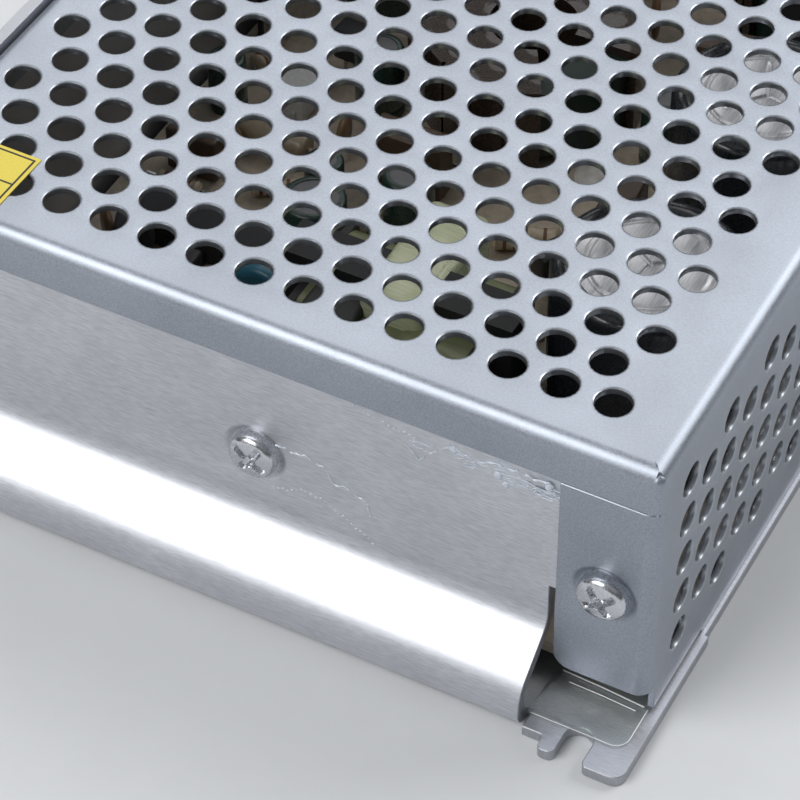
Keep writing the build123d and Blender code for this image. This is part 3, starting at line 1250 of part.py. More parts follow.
def case_nodes():
    """Sheet parts and their fasteners."""
    tab_screw = pan_screw(TAB_SCREW_LENGTH)
    clamp_reach = CHASSIS_SHEET + CLAMP_FACE + CLAMP_THICKNESS + CLAMP_SCREW_SPARE
    clamp_screw = pan_screw(clamp_reach - DIMPLE_DEPTH)
    side_screw = flush_screw(SIDE_SCREW_LENGTH)
    screw_z = CASE_HEIGHT - SIDE_SCREW_DROP
    board_screw = pan_screw(BOARD_SCREW_LENGTH)
    return {
        "base_chassis": chassis(),
        "cover": cover(),
        "tab_screw": front_facing(tab_screw, TAB_SCREW_X, COVER_FRONT_Y + DIMPLE_DEPTH,
                                  FRONT_SCREW_Z),
        "clamp_screw": front_facing(clamp_screw, 0, WALL_OUTER_Y + DIMPLE_DEPTH, FRONT_SCREW_Z),
        "side_screws": [left_facing(side_screw, -HALF_WIDTH, y, screw_z)
                        for y in side_screw_places()],
        "insulation_film": insulation_film(),
        "board_standoffs": [standoff(x, y) for x, y in standoff_places()],
        "board_screws": [Pos(x, y, BOARD_TOP_Z) * board_screw for x, y in standoff_places()],
        "circuit_board": board(),
        "yellow_label": label(),
    }


def power_nodes():
    """Clamped devices, capacitors, wound parts and mains parts."""
    nodes = {}
    nodes["transistor_left"], nodes["transistor_right"] = transistors()
    nodes["transistor_pad"] = transistor_pad()
    nodes["transistor_clamp"] = transistor_clamp()
    nodes["output_rectifier"], nodes["rectifier_pad"], nodes["rectifier_screw"] = rectifier()
    for name, place in zip(("front", "rear"), bulk_places()):
        can, sleeve = bulk_capacitor(place)
        nodes[f"bulk_capacitor_{name}_can"] = can
        nodes[f"bulk_capacitor_{name}_sleeve"] = sleeve
    for index, place in enumerate(output_capacitor_places(), start=1):
        nodes[f"output_capacitor_{index}"] = output_capacitor(place)
    wound = (
        ("driver_transformer", front_left(DRIVER_FROM_FRONT_LEFT),
         DRIVER_CORE, DRIVER_CORE_BACK, DRIVER_WINDING_DEPTH),
        ("main_transformer", front_right(MAIN_TRANSFORMER_FROM_FRONT_RIGHT),
         MAIN_CORE, MAIN_CORE_BACK, MAIN_WINDING_DEPTH),
    )
    for name, place, size, back, winding_depth in wound:
        core, bobbin, tape = wound_parts(place, size, back, winding_depth)
        nodes[f"{name}_core"] = core
        nodes[f"{name}_bobbin"] = bobbin
        nodes[f"{name}_winding"] = tape
    nodes["output_choke_core"], nodes["output_choke_winding"] = output_choke()
    nodes["line_filter_core"], nodes["line_filter_windings"] = line_filter()
    nodes["x_capacitor"] = x_capacitor()
    *disc_capacitors, thermistor = disc_places()
    for index, place in enumerate(disc_capacitors, start=1):
        nodes[f"y_capacitor_{index}"] = disc_part(place, DISC_RADIUS, DISC_THICKNESS)
    nodes["inrush_thermistor"] = disc_part(thermistor, THERMISTOR_RADIUS, THERMISTOR_THICKNESS)
    nodes["bridge_rectifier"] = bridge_rectifier()
    nodes["fuse"] = fuse()
    nodes["fuse_clips"] = fuse_clips()
    nodes["control_chip"] = dual_in_line(front_left(CONTROL_CHIP_FROM_FRONT_LEFT),
                                         CHIP_SIZE, CHIP_SIDE_LEAD_COUNT)
    nodes["optocoupler"] = dual_in_line(front_left(OPTOCOUPLER_FROM_FRONT_LEFT),
                                        OPTO_SIZE, OPTO_SIDE_LEAD_COUNT)
    for index, place in enumerate(resistor_places(), start=1):
        nodes[f"resistor_{index}"] = resistor(place)
    return nodes


def user_nodes():
    """What the installer touches: terminals, trimmer, lamp and selector."""
    nodes = {
        "terminal_body": terminal_body(),
        "terminal_plates": terminal_plates(),
        "terminal_screws": terminal_screws(),
        "terminal_lid": terminal_lid(),
        "indicator_lamp": indicator_lamp(),
    }
    nodes["trimmer_body"], nodes["trimmer_rotor"] = trimmer()
    nodes["selector_body"], nodes["selector_slider"] = selector()
    return nodes


def write(nodes):
    """Writes each node to its own file."""
    os.makedirs("parts", exist_ok=True)
    for name, shape in nodes.items():
        if isinstance(shape, list):
            shape = Compound(children=[solid for item in shape for solid in item.solids()])
        export_step(shape, f"parts/{name}.step")


write({**case_nodes(), **power_nodes(), **user_nodes()})
print("lid hinge", HINGE_Y, HINGE_Z, "trimmer", SIDE_COLUMN_X, TRIMMER_Y)
print("selector", SELECTOR_Y, SELECTOR_MID_Z, "travel", SLIDER_TRAVEL)
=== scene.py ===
"""Dresses an enclosed LED power supply: folded sheets, screws, film, label and board parts.

Lengths in the classes are millimetres, and MM turns them into metres where a mesh is made.
"""

import json
import logging
import math
from collections.abc import Callable, Sequence
from dataclasses import dataclass, field
from enum import Enum
from itertools import accumulate

import bmesh
import bpy
import numpy as np
from mathutils import Matrix, Vector
from mathutils.geometry import delaunay_2d_cdt


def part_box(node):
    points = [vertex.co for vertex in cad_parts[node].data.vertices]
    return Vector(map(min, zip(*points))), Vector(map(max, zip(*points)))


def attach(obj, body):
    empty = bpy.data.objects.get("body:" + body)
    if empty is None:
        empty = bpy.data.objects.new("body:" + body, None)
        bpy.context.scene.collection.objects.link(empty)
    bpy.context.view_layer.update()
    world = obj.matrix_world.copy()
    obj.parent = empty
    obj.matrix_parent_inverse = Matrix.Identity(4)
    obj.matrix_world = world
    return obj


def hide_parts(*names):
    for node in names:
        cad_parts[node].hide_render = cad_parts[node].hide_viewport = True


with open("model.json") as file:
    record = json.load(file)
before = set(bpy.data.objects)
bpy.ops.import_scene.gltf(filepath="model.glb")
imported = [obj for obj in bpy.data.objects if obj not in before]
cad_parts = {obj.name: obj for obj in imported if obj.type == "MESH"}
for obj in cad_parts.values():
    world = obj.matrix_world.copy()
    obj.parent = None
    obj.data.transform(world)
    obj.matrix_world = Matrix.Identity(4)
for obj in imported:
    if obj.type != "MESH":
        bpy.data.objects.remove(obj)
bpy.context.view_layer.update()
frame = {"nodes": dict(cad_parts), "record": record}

LOG = logging.getLogger("power_supply")
MM = 0.001
HALF_TURN = math.pi
QUARTER_TURN = math.pi / 2
CASE_BODY = "case"
MERGE_DISTANCE = 0.002
TURNED_SHARP = 50.0
BEND_STEPS = 7
ARC_STEPS = 6
UP = (0.0, 0.0, 1.0)
Array = np.ndarray
Mesh = Ends = tuple[Array, Array]
Pair = tuple[float, float]
Triple = tuple[float, float, float]
Rows = tuple[tuple[float, ...], ...]
Material = bpy.types.Material
Socket = bpy.types.NodeSocket
Placer = Callable[[Array, Array, Array], Array]


def box_mm(node: str) -> tuple[Array, Array]:
    """Returns the low and high corners of a node's box in millimetres."""
    low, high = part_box(node)
    return np.array(low) / MM, np.array(high) / MM


def corners_within(node: str, radius: float) -> list[Pair]:
    """Returns the X and Y of the four corners of a node's box, moved in by a radius."""
    low, high = box_mm(node)
    return [(x, y) for x in (low[0] + radius, high[0] - radius)
            for y in (low[1] + radius, high[1] - radius)]


def level(turn: float) -> Triple:
    """Returns the level direction at an angle from X."""
    return math.cos(turn), math.sin(turn), 0.0


def around(sides: int) -> Array:
    """Returns evenly spaced angles round a full turn."""
    return np.arange(sides) * 2 * HALF_TURN / sides


class Grain(Enum):
    """Directions in which a finish is drawn out."""

    EVEN = (1.0, 1.0, 1.0)
    ALONG_X = (0.07, 1.0, 1.0)
    ALONG_Y = (1.0, 0.07, 1.0)
    ALONG_Z = (1.0, 1.0, 0.12)


@dataclass(frozen=True)
class Nodes:
    """A node tree to which a node is added together with its inputs."""

    tree: bpy.types.NodeTree

    def fill(self, node: bpy.types.Node, inputs: dict[object, object]) -> None:
        """Links each input whose value is a socket, and sets the others."""
        for key, value in inputs.items():
            if isinstance(value, Socket):
                self.tree.links.new(value, node.inputs[key])
            else:
                node.inputs[key].default_value = value

    def add(self, kind: str, output: object, inputs: dict[object, object],
            **settings: object) -> Socket:
        """Adds a node.

        Args:
            kind: The node's type.
            output: The name or number of the output that is wanted.
            inputs: The values or sockets of its inputs, by name or number.
            **settings: The node's own settings.

        Returns:
            The output's socket.
        """
        node = self.tree.nodes.new(f"ShaderNode{kind}")
        for name, value in settings.items():
            setattr(node, name, value)
        self.fill(node, inputs)
        return node.outputs[output]

    def math(self, operation: str, *values: object) -> Socket:
        """Adds a math node on sockets or numbers and returns its result."""
        return self.add("Math", 0, dict(enumerate(values)), operation=operation)

    def mix(self, factor: object, low: object, high: object, blend: str = "MIX") -> Socket:
        """Mixes two colours, each a value or a socket, and returns the mixed socket."""
        return self.add("Mix", 2, {0: factor, 6: low, 7: high}, data_type="RGBA", blend_type=blend)

    def ranged(self, source: Socket, low: float, high: float) -> Socket:
        """Spreads the middle of a noise over a range and returns the spread value."""
        return self.add("MapRange", "Result", {"Value": source, "From Min": 0.3, "From Max": 0.7,
                                               "To Min": low, "To Max": high})

    def noise(self, size: float, stretch: Sequence[float], detail: float) -> Socket:
        """Adds a noise on the object's own coordinates.

        Args:
            size: The size of a grain in millimetres.
            stretch: The factor on the noise's frequency along each axis.
            detail: The number of finer layers.

        Returns:
            The noise's factor.
        """
        scale = [share / (size * MM) for share in stretch]
        place = self.add("TexCoord", "Object", {})
        mapped = self.add("Mapping", "Vector", {"Vector": place, "Scale": scale})
        return self.add("TexNoise", "Fac", {"Vector": mapped, "Scale": 1.0, "Detail": detail,
                                            "Roughness": 0.6})


@dataclass(frozen=True)
class Finish:
    """A surface finish with a fine grain and a broad cloudiness.

    The colour is mixed towards a second one by two noises: a fine one drawn out along the
    grain's direction, and a broad one. The fine one also moves the roughness and the bump.
    """

    name: str
    color: Triple
    roughness: float = 0.5
    metallic: float = 0.0
    grain: Grain = Grain.EVEN
    grain_size: float = 0.4
    grain_color: float = 0.10
    grain_bump: float = 0.004
    cloud_size: float = 8.0
    cloud_color: float = 0.06
    roughness_spread: float = 0.08
    alpha: float = 1.0
    coat: float = 0.0
    ior: float = 1.5

    def shade(self, share: float) -> tuple[float, ...]:
        """Returns the colour made lighter or darker by a share."""
        return tuple(min(1.0, max(0.0, c * (1.0 + share))) for c in self.color) + (1.0,)

    def build(self) -> Material:
        """Makes the material and returns it."""
        material = bpy.data.materials.new(self.name)
        material.use_nodes = True
        nodes = Nodes(material.node_tree)
        fine = nodes.noise(self.grain_size, self.grain.value, 3.0)
        broad = nodes.noise(self.cloud_size, Grain.EVEN.value, 2.0)
        color = nodes.mix(nodes.ranged(fine, 0.0, 1.0), self.shade(-self.grain_color),
                          self.shade(self.grain_color))
        cloud = nodes.mix(nodes.ranged(broad, 0.0, 1.0), (1.0 - self.cloud_color,) * 3 + (1.0,),
                          (1.0,) * 4)
        nodes.fill(material.node_tree.nodes["Principled BSDF"], {
            "Base Color": nodes.mix(1.0, color, cloud, "MULTIPLY"),
            "Roughness": nodes.ranged(fine, self.roughness - self.roughness_spread,
                                      self.roughness + self.roughness_spread),
            "Metallic": self.metallic, "Alpha": self.alpha, "Coat Weight": self.coat,
            "IOR": self.ior,
            "Normal": nodes.add("Bump", "Normal", {"Height": fine, "Strength": 1.0,
                                                   "Distance": self.grain_bump * MM})})
        return material


@dataclass(frozen=True)
class PrintedLabel:
    """Yellow paper with a black frame line and one divider, drawn on object coordinates."""

    name: str
    middle: Array
    half_size: Array
    divider_y: float
    paper: Triple = (0.69, 0.56, 0.08)
    ink: Triple = (0.02, 0.02, 0.02)
    line_half_width: float = 0.13

    def build(self) -> Material:
        """Makes the material: ink where a point is near the frame line or the divider.

        The distance beyond the frame is the larger of |axis - middle| - half over both axes.
        """
        material = Finish(self.name, self.paper, roughness=0.62, grain_size=0.15,
                          grain_color=0.06, grain_bump=0.002).build()
        nodes = Nodes(material.node_tree)
        shader = material.node_tree.nodes["Principled BSDF"]
        place = nodes.add("TexCoord", "Object", {})
        axes = [nodes.add("SeparateXYZ", axis, {0: place}) for axis in "XY"]
        beyond = [nodes.math("SUBTRACT", nodes.math("ABSOLUTE", nodes.math("SUBTRACT", axis,
                                                                           middle * MM)), half * MM)
                  for axis, middle, half in zip(axes, self.middle, self.half_size)]
        frame_line = nodes.math("MAXIMUM", *beyond)
        divider = nodes.math("ABSOLUTE", nodes.math("SUBTRACT", axes[1], self.divider_y * MM))
        nearest = nodes.math("MINIMUM", nodes.math("ABSOLUTE", frame_line),
                             nodes.math("MAXIMUM", divider, frame_line))
        inked = nodes.math("LESS_THAN", nearest, self.line_half_width * MM)
        paper = shader.inputs["Base Color"].links[0].from_socket
        nodes.fill(shader, {"Base Color": nodes.mix(inked, paper, self.ink + (1.0,))})
        return material


@dataclass(frozen=True)
class FoldPath:
    """The line that a folded sheet's outer face follows, seen end on.

    Attributes:
        start: Where the line starts, in its own plane.
        heading: The direction at the start, in radians.
        side: 1 if the outer side lies to the left of the heading, otherwise -1.
        runs: Pairs of length and turn; a run with a turn of zero is straight.
        origin: The distance value at the start.
    """

    start: Pair
    heading: float
    side: int
    runs: tuple[Pair, ...]
    origin: float = 0.0

    def knots(self) -> list[float]:
        """Returns the distance at the start of each run and at the end of the last."""
        return list(accumulate((length for length, _ in self.runs), initial=self.origin))

    def levels(self) -> list[float]:
        """Returns the distances at which the bends are divided, their ends included."""
        return [start + length * step / BEND_STEPS
                for start, (length, turn) in zip(self.knots(), self.runs) if turn
                for step in range(BEND_STEPS + 1)]

    @staticmethod
    def carry(spot: Sequence[float], rate: float, run: Array | float) -> tuple[Array, ...]:
        """Goes on from a spot, given as two coordinates and a heading.

        A straight run goes run (cos h, sin h). A bend of r radians for each millimetre goes
        ((sin h1 - sin h0) / r, (cos h0 - cos h1) / r), where h1 = h0 + r run.
        """
        across, up, heading = spot
        now = heading + rate * run
        if not rate:
            return across + run * math.cos(heading), up + run * math.sin(heading), now
        return (across + (np.sin(now) - math.sin(heading)) / rate,
                up + (math.cos(heading) - np.cos(now)) / rate, now)

    def at(self, distance: Array, depth: Array) -> tuple[Array, Array]:
        """Finds points below the outer face.

        Each distance is carried along its own run, and the depth then moves the point against
        the outward normal, which is the heading turned by a quarter.

        Args:
            distance: The distances along the line.
            depth: The depths below the outer face.

        Returns:
            The two coordinates of each point in the line's plane.
        """
        found = np.zeros((3, *distance.shape))
        spot: Sequence[float] = (*self.start, self.heading)
        knots = self.knots()
        last = len(self.runs) - 1
        for index, (length, turn) in enumerate(self.runs):
            here = (distance >= knots[index]) | (index == 0)
            here &= (distance <= knots[index + 1]) | (index == last)
            rate = turn / length
            found = np.where(here, self.carry(spot, rate, distance - knots[index]), found)
            spot = self.carry(spot, rate, length)
        across, up, angle = found
        normal = angle + self.side * QUARTER_TURN
        return across - depth * np.cos(normal), up - depth * np.sin(normal)

    def placer_along_x(self) -> Placer:
        """Returns the placer of a panel whose first coordinate follows the line, in X and Z."""
        def place(q: Array, y: Array, depth: Array) -> Array:
            """Lays the points."""
            x, z = self.at(q, depth)
            return np.column_stack([x, y, z])
        return place

    def placer_along_y(self) -> Placer:
        """Returns the placer of a panel whose second coordinate follows the line, in Y and Z."""
        return lambda x, q, depth: np.column_stack([x, *self.at(q, depth)])


@dataclass(frozen=True)
class RimmedHole:
    """A round hole whose wall is a profile of radius and depth turned about its centre."""

    centre: Pair
    profile: tuple[Pair, ...]
    sides: int = 20
    rim_levels: int = 0

    def circle(self, radius: float) -> Array:
        """Returns points on a circle: centre + radius (cos a, sin a)."""
        angle = around(self.sides)
        return np.array(self.centre) + radius * np.column_stack([np.cos(angle), np.sin(angle)])

    def wall(self, place: Placer) -> tuple[Array, Array, Array]:
        """Builds the wall from the outer face to the inner one.

        Args:
            place: Maps pattern coordinates and depths into space.

        Returns:
            The points, and the four-cornered faces of the rim and of the wall below it.
        """
        rings = [np.column_stack([self.circle(radius), np.full(self.sides, depth)])
                 for radius, depth in self.profile]
        flat = np.concatenate(rings)
        faces = strip_faces(len(self.profile), self.sides)
        rim_faces = self.rim_levels * self.sides
        return place(*flat.T), faces[:rim_faces], faces[rim_faces:]


def punched(centre: Pair, radius: float, thickness: float,
            rollover: float = 0.38) -> RimmedHole:
    """Makes a punched hole: the rim is drawn in where the punch went through.

    The rim is a quarter of an ellipse: radius + rollover (1 - sin a), depth 0.6 rollover
    (1 - cos a), for a from 0 to a quarter turn.

    Args:
        centre: The hole's centre in the pattern.
        radius: The hole's radius.
        thickness: The sheet's thickness.
        rollover: How far the rounded rim reaches.

    Returns:
        The hole.
    """
    angles = [QUARTER_TURN * step / 3 for step in range(4)]
    rim = [(radius + rollover * (1 - math.sin(a)), 0.6 * rollover * (1 - math.cos(a)))
           for a in angles]
    profile = (*rim, (radius, thickness), (radius + rollover, thickness))
    return RimmedHole(centre, profile, rim_levels=1)


@dataclass
class Panel:
    """One panel of a folded sheet, cut out in a flat pattern and then laid along its folds.

    Attributes:
        corners: The pattern's outline, in order.
        joined: The numbers of the outline's edges that another panel continues.
        place: Maps pattern coordinates and depths into space.
        thickness: The sheet's thickness.
        levels: Values of the folded coordinate where bends are divided.
        folded_axis: Which pattern coordinate runs round the bends.
        holes: The round holes.
        extra_rings: Centre and radius of rings that keep a dish round.
        cut_outs: Rectangles that are cut out, as low and high corners.
        plain_rim: Whether the outline's cut edges keep the finish of the faces.
    """

    corners: list[Pair]
    joined: set[int]
    place: Placer
    thickness: float
    levels: list[float] = field(default_factory=list)
    folded_axis: int = 0
    holes: list[RimmedHole] = field(default_factory=list)
    extra_rings: list[tuple[Pair, float]] = field(default_factory=list)
    cut_outs: list[tuple[Pair, Pair]] = field(default_factory=list)
    plain_rim: bool = False
    edge_round: float = 0.09
    step: float = 6.0

    def divided(self) -> tuple[Array, Array]:
        """Divides the outline at the bend levels and at even steps.

        Returns:
            The points, and for each whether the edge that follows it is a cut edge.
        """
        points, free = [], []
        corners = np.array(self.corners, float)
        for index, (start, end) in enumerate(zip(corners, np.roll(corners, -1, axis=0))):
            span = end - start
            steps = max(1, round(float(np.hypot(*span)) / self.step))
            shares = set(np.arange(1, steps) / steps)
            reach = span[self.folded_axis]
            if abs(reach) > 1e-9:
                crossing = (np.array(self.levels, float) - start[self.folded_axis]) / reach
                shares = {s for s in shares if not np.any(np.abs(crossing - s) * abs(reach) < 0.2)}
                shares |= {float(s) for s in crossing if 1e-6 < s < 1 - 1e-6}
            points.append(start)
            points += [start + span * share for share in sorted(shares)]
            free += [index not in self.joined] * (1 + len(shares))
        return np.array(points), np.array(free)

    def inset(self, points: Array, free: Array) -> Array:
        """Draws in the points between two cut edges, by the rounding of the edge.

        Each edge line is moved inwards by the rounding, and the point goes to where the lines
        of its two edges meet: point + round (n0 + n1) / (1 + n0 . n1).
        """
        before = points - np.roll(points, 1, axis=0)
        after = np.roll(points, -1, axis=0) - points
        inward = np.sign(np.sum(points[:, 0] * after[:, 1] - after[:, 0] * points[:, 1]))

        def normals(edges: Array) -> Array:
            """Returns the inward unit normals of edges."""
            unit = edges / np.linalg.norm(edges, axis=1)[:, None]
            return inward * np.column_stack([-unit[:, 1], unit[:, 0]])

        first, second = normals(before), normals(after)
        dot = np.sum(first * second, axis=1)
        shift = self.edge_round * (first + second) / (1 + dot)[:, None]
        both = free & np.roll(free, 1)
        return points + shift * both[:, None]

    def band(self, points: Array, drawn_in: Array, free: Array) -> Mesh:
        """Closes the cut edges with a rounded band from the outer face to the inner one."""
        depths = (0.0, self.edge_round, self.thickness - self.edge_round, self.thickness)
        rows = (drawn_in, points, points, drawn_in)
        space = [self.place(*row.T, np.full(len(row), depth)) for row, depth in zip(rows, depths)]
        here = np.nonzero(free)[0]
        after = (here + 1) % len(points)
        levels = np.arange(len(depths) - 1)[:, None] * len(points)
        faces = np.stack([here + levels, after + levels, after + levels + len(points),
                          here + levels + len(points)], axis=-1)
        return np.concatenate(space), faces.reshape(-1, 4)

    def triangles(self, loops: list[Array], rulings: list[Ends], rings: list[Array]) -> Mesh:
        """Fills the pattern between its outline, holes and bend lines.

        Args:
            loops: The outline first, then each cut-out's outline.
            rulings: The bend lines, as pairs of end points.
            rings: The edges of the holes and of the dishes.

        Returns:
            The points in the pattern and the triangles.
        """
        points = np.concatenate(loops + rings)
        edges: list[tuple[int, int]] = []
        start = 0
        for ring in loops + rings:
            index = np.arange(len(ring))
            edges += list(zip((start + index).tolist(),
                              (start + (index + 1) % len(ring)).tolist()))
            start += len(ring)
        for low, high in rulings:
            pair = [int(np.argmin(np.sum((points - end) ** 2, axis=1))) for end in (low, high)]
            edges.append((pair[0], pair[1]))
        flat = [Vector(point) for point in points]
        found, _, faces, sources, _, _ = delaunay_2d_cdt(flat, edges, [], 0, 1e-7)
        spots = np.array([points[source[0]] if source else (vertex.x, vertex.y)
                          for vertex, source in zip(found, sources)])
        corners = np.array(faces)
        middle = spots[corners].mean(axis=1)
        keep = inside_loop(middle, loops[0])
        for loop in loops[1:]:
            keep &= ~inside_loop(middle, loop)
        for hole in self.holes:
            reach = np.hypot(*(middle - np.array(hole.centre)).T)
            keep &= reach > hole.profile[0][0] * math.cos(HALF_TURN / hole.sides) - 1e-6
        return spots, corners[keep]

    def build(self) -> tuple[list[Mesh], list[bool]]:
        """Returns the panel's parts, and for each whether it is a cut edge."""
        outline, free = self.divided()
        drawn_in = self.inset(outline, free)
        loops, bands = [drawn_in], [self.band(outline, drawn_in, free)]
        for low, high in self.cut_outs:
            rim = np.array([low, (low[0], high[1]), high, (high[0], low[1])], float)
            all_free = np.ones(4, bool)
            grown = 2 * rim - self.inset(rim, all_free)
            loops.append(grown)
            bands.append(self.band(rim, grown, all_free))
        rings = [hole.circle(hole.profile[0][0]) for hole in self.holes]
        for centre, radius in self.extra_rings:
            ring = RimmedHole(centre, (), 36).circle(radius)
            if inside_loop(ring, drawn_in).all():
                rings.append(ring)
        spots, corners = self.triangles(loops, self.rulings(drawn_in, outline), rings)
        groups = [(self.place(*spots.T, np.full(len(spots), depth)), corners)
                  for depth in (0.0, self.thickness)]
        walls = [hole.wall(self.place) for hole in self.holes]
        groups += [(points, rim) for points, rim, _ in walls]
        plain = len(groups) + len(bands) * self.plain_rim
        groups += bands + [(points, wall) for points, _, wall in walls]
        return groups, [index >= plain for index in range(len(groups))]

    def rulings(self, drawn_in: Array, outline: Array) -> list[Ends]:
        """Pairs the outline's points that lie on one bend line."""
        pairs: list[Ends] = []
        other = 1 - self.folded_axis
        for level in self.levels:
            on_line = np.nonzero(np.abs(outline[:, self.folded_axis] - level) < 1e-6)[0]
            order = on_line[np.argsort(outline[on_line, other])]
            if len(order) >= 2:
                pairs.append((drawn_in[order[0]], drawn_in[order[-1]]))
        return pairs


def inside_loop(points: Array, loop: Array) -> Array:
    """Tells which points lie inside a closed loop.

    A point is inside when a ray from it along +X crosses the loop an odd number of times.
    """
    after = np.roll(loop, -1, axis=0)
    y = points[:, 1][:, None]
    crosses = (loop[:, 1] > y) != (after[:, 1] > y)
    rise = after[:, 1] - loop[:, 1]
    rise[np.abs(rise) < 1e-12] = 1e-12
    at = loop[:, 0] + (y - loop[:, 1]) / rise * (after[:, 0] - loop[:, 0])
    return (np.sum(crosses & (points[:, 0][:, None] < at), axis=1) % 2).astype(bool)


def join_groups(groups: Sequence[Mesh]) -> tuple[Array, list[Array]]:
    """Puts groups of points and faces into one list of points, with the faces renumbered."""
    starts = accumulate((len(points) for points, _ in groups), initial=0)
    return (np.concatenate([points for points, _ in groups]),
            [faces + start for (_, faces), start in zip(groups, starts)])


def make_piece(name: str, parts: Sequence[Mesh], material: Material, slot: str,
               sharp_angle: float = 34.0, edge_material: Material | None = None,
               edges: Sequence[bool] = ()) -> bpy.types.Object:
    """Joins parts in millimetres into a piece that rides on the case.

    Args:
        name: The piece's name.
        parts: Points and faces; the faces of one part have equal corner counts.
        material: The material.
        slot: The record's material slot; not used.
        sharp_angle: Edges that turn by more degrees than this are shaded sharp.
        edge_material: The material of the cut edges, if they have one of their own.
        edges: For each part, whether it is a cut edge.

    Returns:
        The new object.
    """
    points, faces = join_groups(parts)
    mesh = bpy.data.meshes.new(name)
    corners = [face for group in faces for face in group.tolist()]
    mesh.from_pydata((points * MM).tolist(), [], corners)
    mesh.materials.append(material)
    if edge_material:
        mesh.materials.append(edge_material)
        flags = np.repeat(np.array(edges, np.int32), [len(group) for group in faces])
        mesh.polygons.foreach_set("material_index", flags)
    shape = bmesh.new()
    shape.from_mesh(mesh)
    bmesh.ops.remove_doubles(shape, verts=shape.verts, dist=MERGE_DISTANCE * MM)
    bmesh.ops.dissolve_degenerate(shape, edges=shape.edges, dist=MERGE_DISTANCE * MM / 4)
    bmesh.ops.recalc_face_normals(shape, faces=shape.faces)
    open_edges = sum(1 for edge in shape.edges if len(edge.link_faces) != 2)
    shape.to_mesh(mesh)
    shape.free()
    mesh.shade_smooth()
    mesh.set_sharp_from_angle(angle=math.radians(sharp_angle))
    piece = bpy.data.objects.new(name, mesh)
    bpy.context.scene.collection.objects.link(piece)
    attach(piece, CASE_BODY)
    LOG.info("%s: %d faces, %d open edges", name, len(mesh.polygons), open_edges)
    return piece


def join_panels(panels: Sequence[Panel]) -> tuple[list[Mesh], list[bool]]:
    """Builds panels and returns all their parts, and for each whether it is a cut edge."""
    built = [panel.build() for panel in panels]
    return ([part for parts, _ in built for part in parts],
            [flag for _, flags in built for flag in flags])


def rounded_outline(corners: Sequence[Triple]) -> list[Pair]:
    """Rounds the corners of an outline.

    Each corner has a radius r. Its arc starts r tan(a / 2) before the corner, where a is the
    turn, and its points are the centre plus r at evenly spaced angles.

    Args:
        corners: The corners as X, Y and radius.

    Returns:
        The outline's points.
    """
    result: list[Pair] = []
    for index, (x, y, radius) in enumerate(corners):
        here = np.array([x, y])
        if not radius:
            result.append((x, y))
            continue
        back = np.array(corners[index - 1][:2]) - here
        ahead = np.array(corners[(index + 1) % len(corners)][:2]) - here
        back, ahead = back / np.linalg.norm(back), ahead / np.linalg.norm(ahead)
        half = math.acos(float(np.clip(back @ ahead, -1, 1))) / 2
        centre = here + (back + ahead) / np.linalg.norm(back + ahead) * radius / math.sin(half)
        start = here + back * radius / math.tan(half) - centre
        end = here + ahead * radius / math.tan(half) - centre
        first = math.atan2(start[1], start[0])
        turn = (math.atan2(end[1], end[0]) - first + HALF_TURN) % (2 * HALF_TURN) - HALF_TURN
        for step in range(ARC_STEPS + 1):
            angle = first + turn * step / ARC_STEPS
            result.append((centre[0] + radius * math.cos(angle),
                           centre[1] + radius * math.sin(angle)))
    return result


@dataclass
class ScrewDish:
    """The dish pressed around each front screw."""

    floor: float = 2.95
    mouth: float = 4.05
    depth: float = 0.6
    hole_radius: float = 1.6

    def sunk(self, x: Array, z: Array, centre: Pair) -> Array:
        """Depth at points: full inside the floor radius, then a cosine ramp to the mouth."""
        reach = np.hypot(x - centre[0], z - centre[1])
        share = np.clip((self.mouth - reach) / (self.mouth - self.floor), 0.0, 1.0)
        return self.depth * (1 - np.cos(HALF_TURN * share)) / 2

    def rings(self, centre: Pair) -> list[tuple[Pair, float]]:
        """Returns the rings that keep the dish round."""
        return [(centre, self.floor + (self.mouth - self.floor) * share)
                for share in (0.0, 0.25, 0.5, 0.75, 1.0)]

    def hole(self, centre: Pair, thickness: float) -> RimmedHole:
        """Returns the plain screw hole in the dish's floor."""
        return RimmedHole(centre, ((self.hole_radius, 0.0), (self.hole_radius, thickness)), 36)


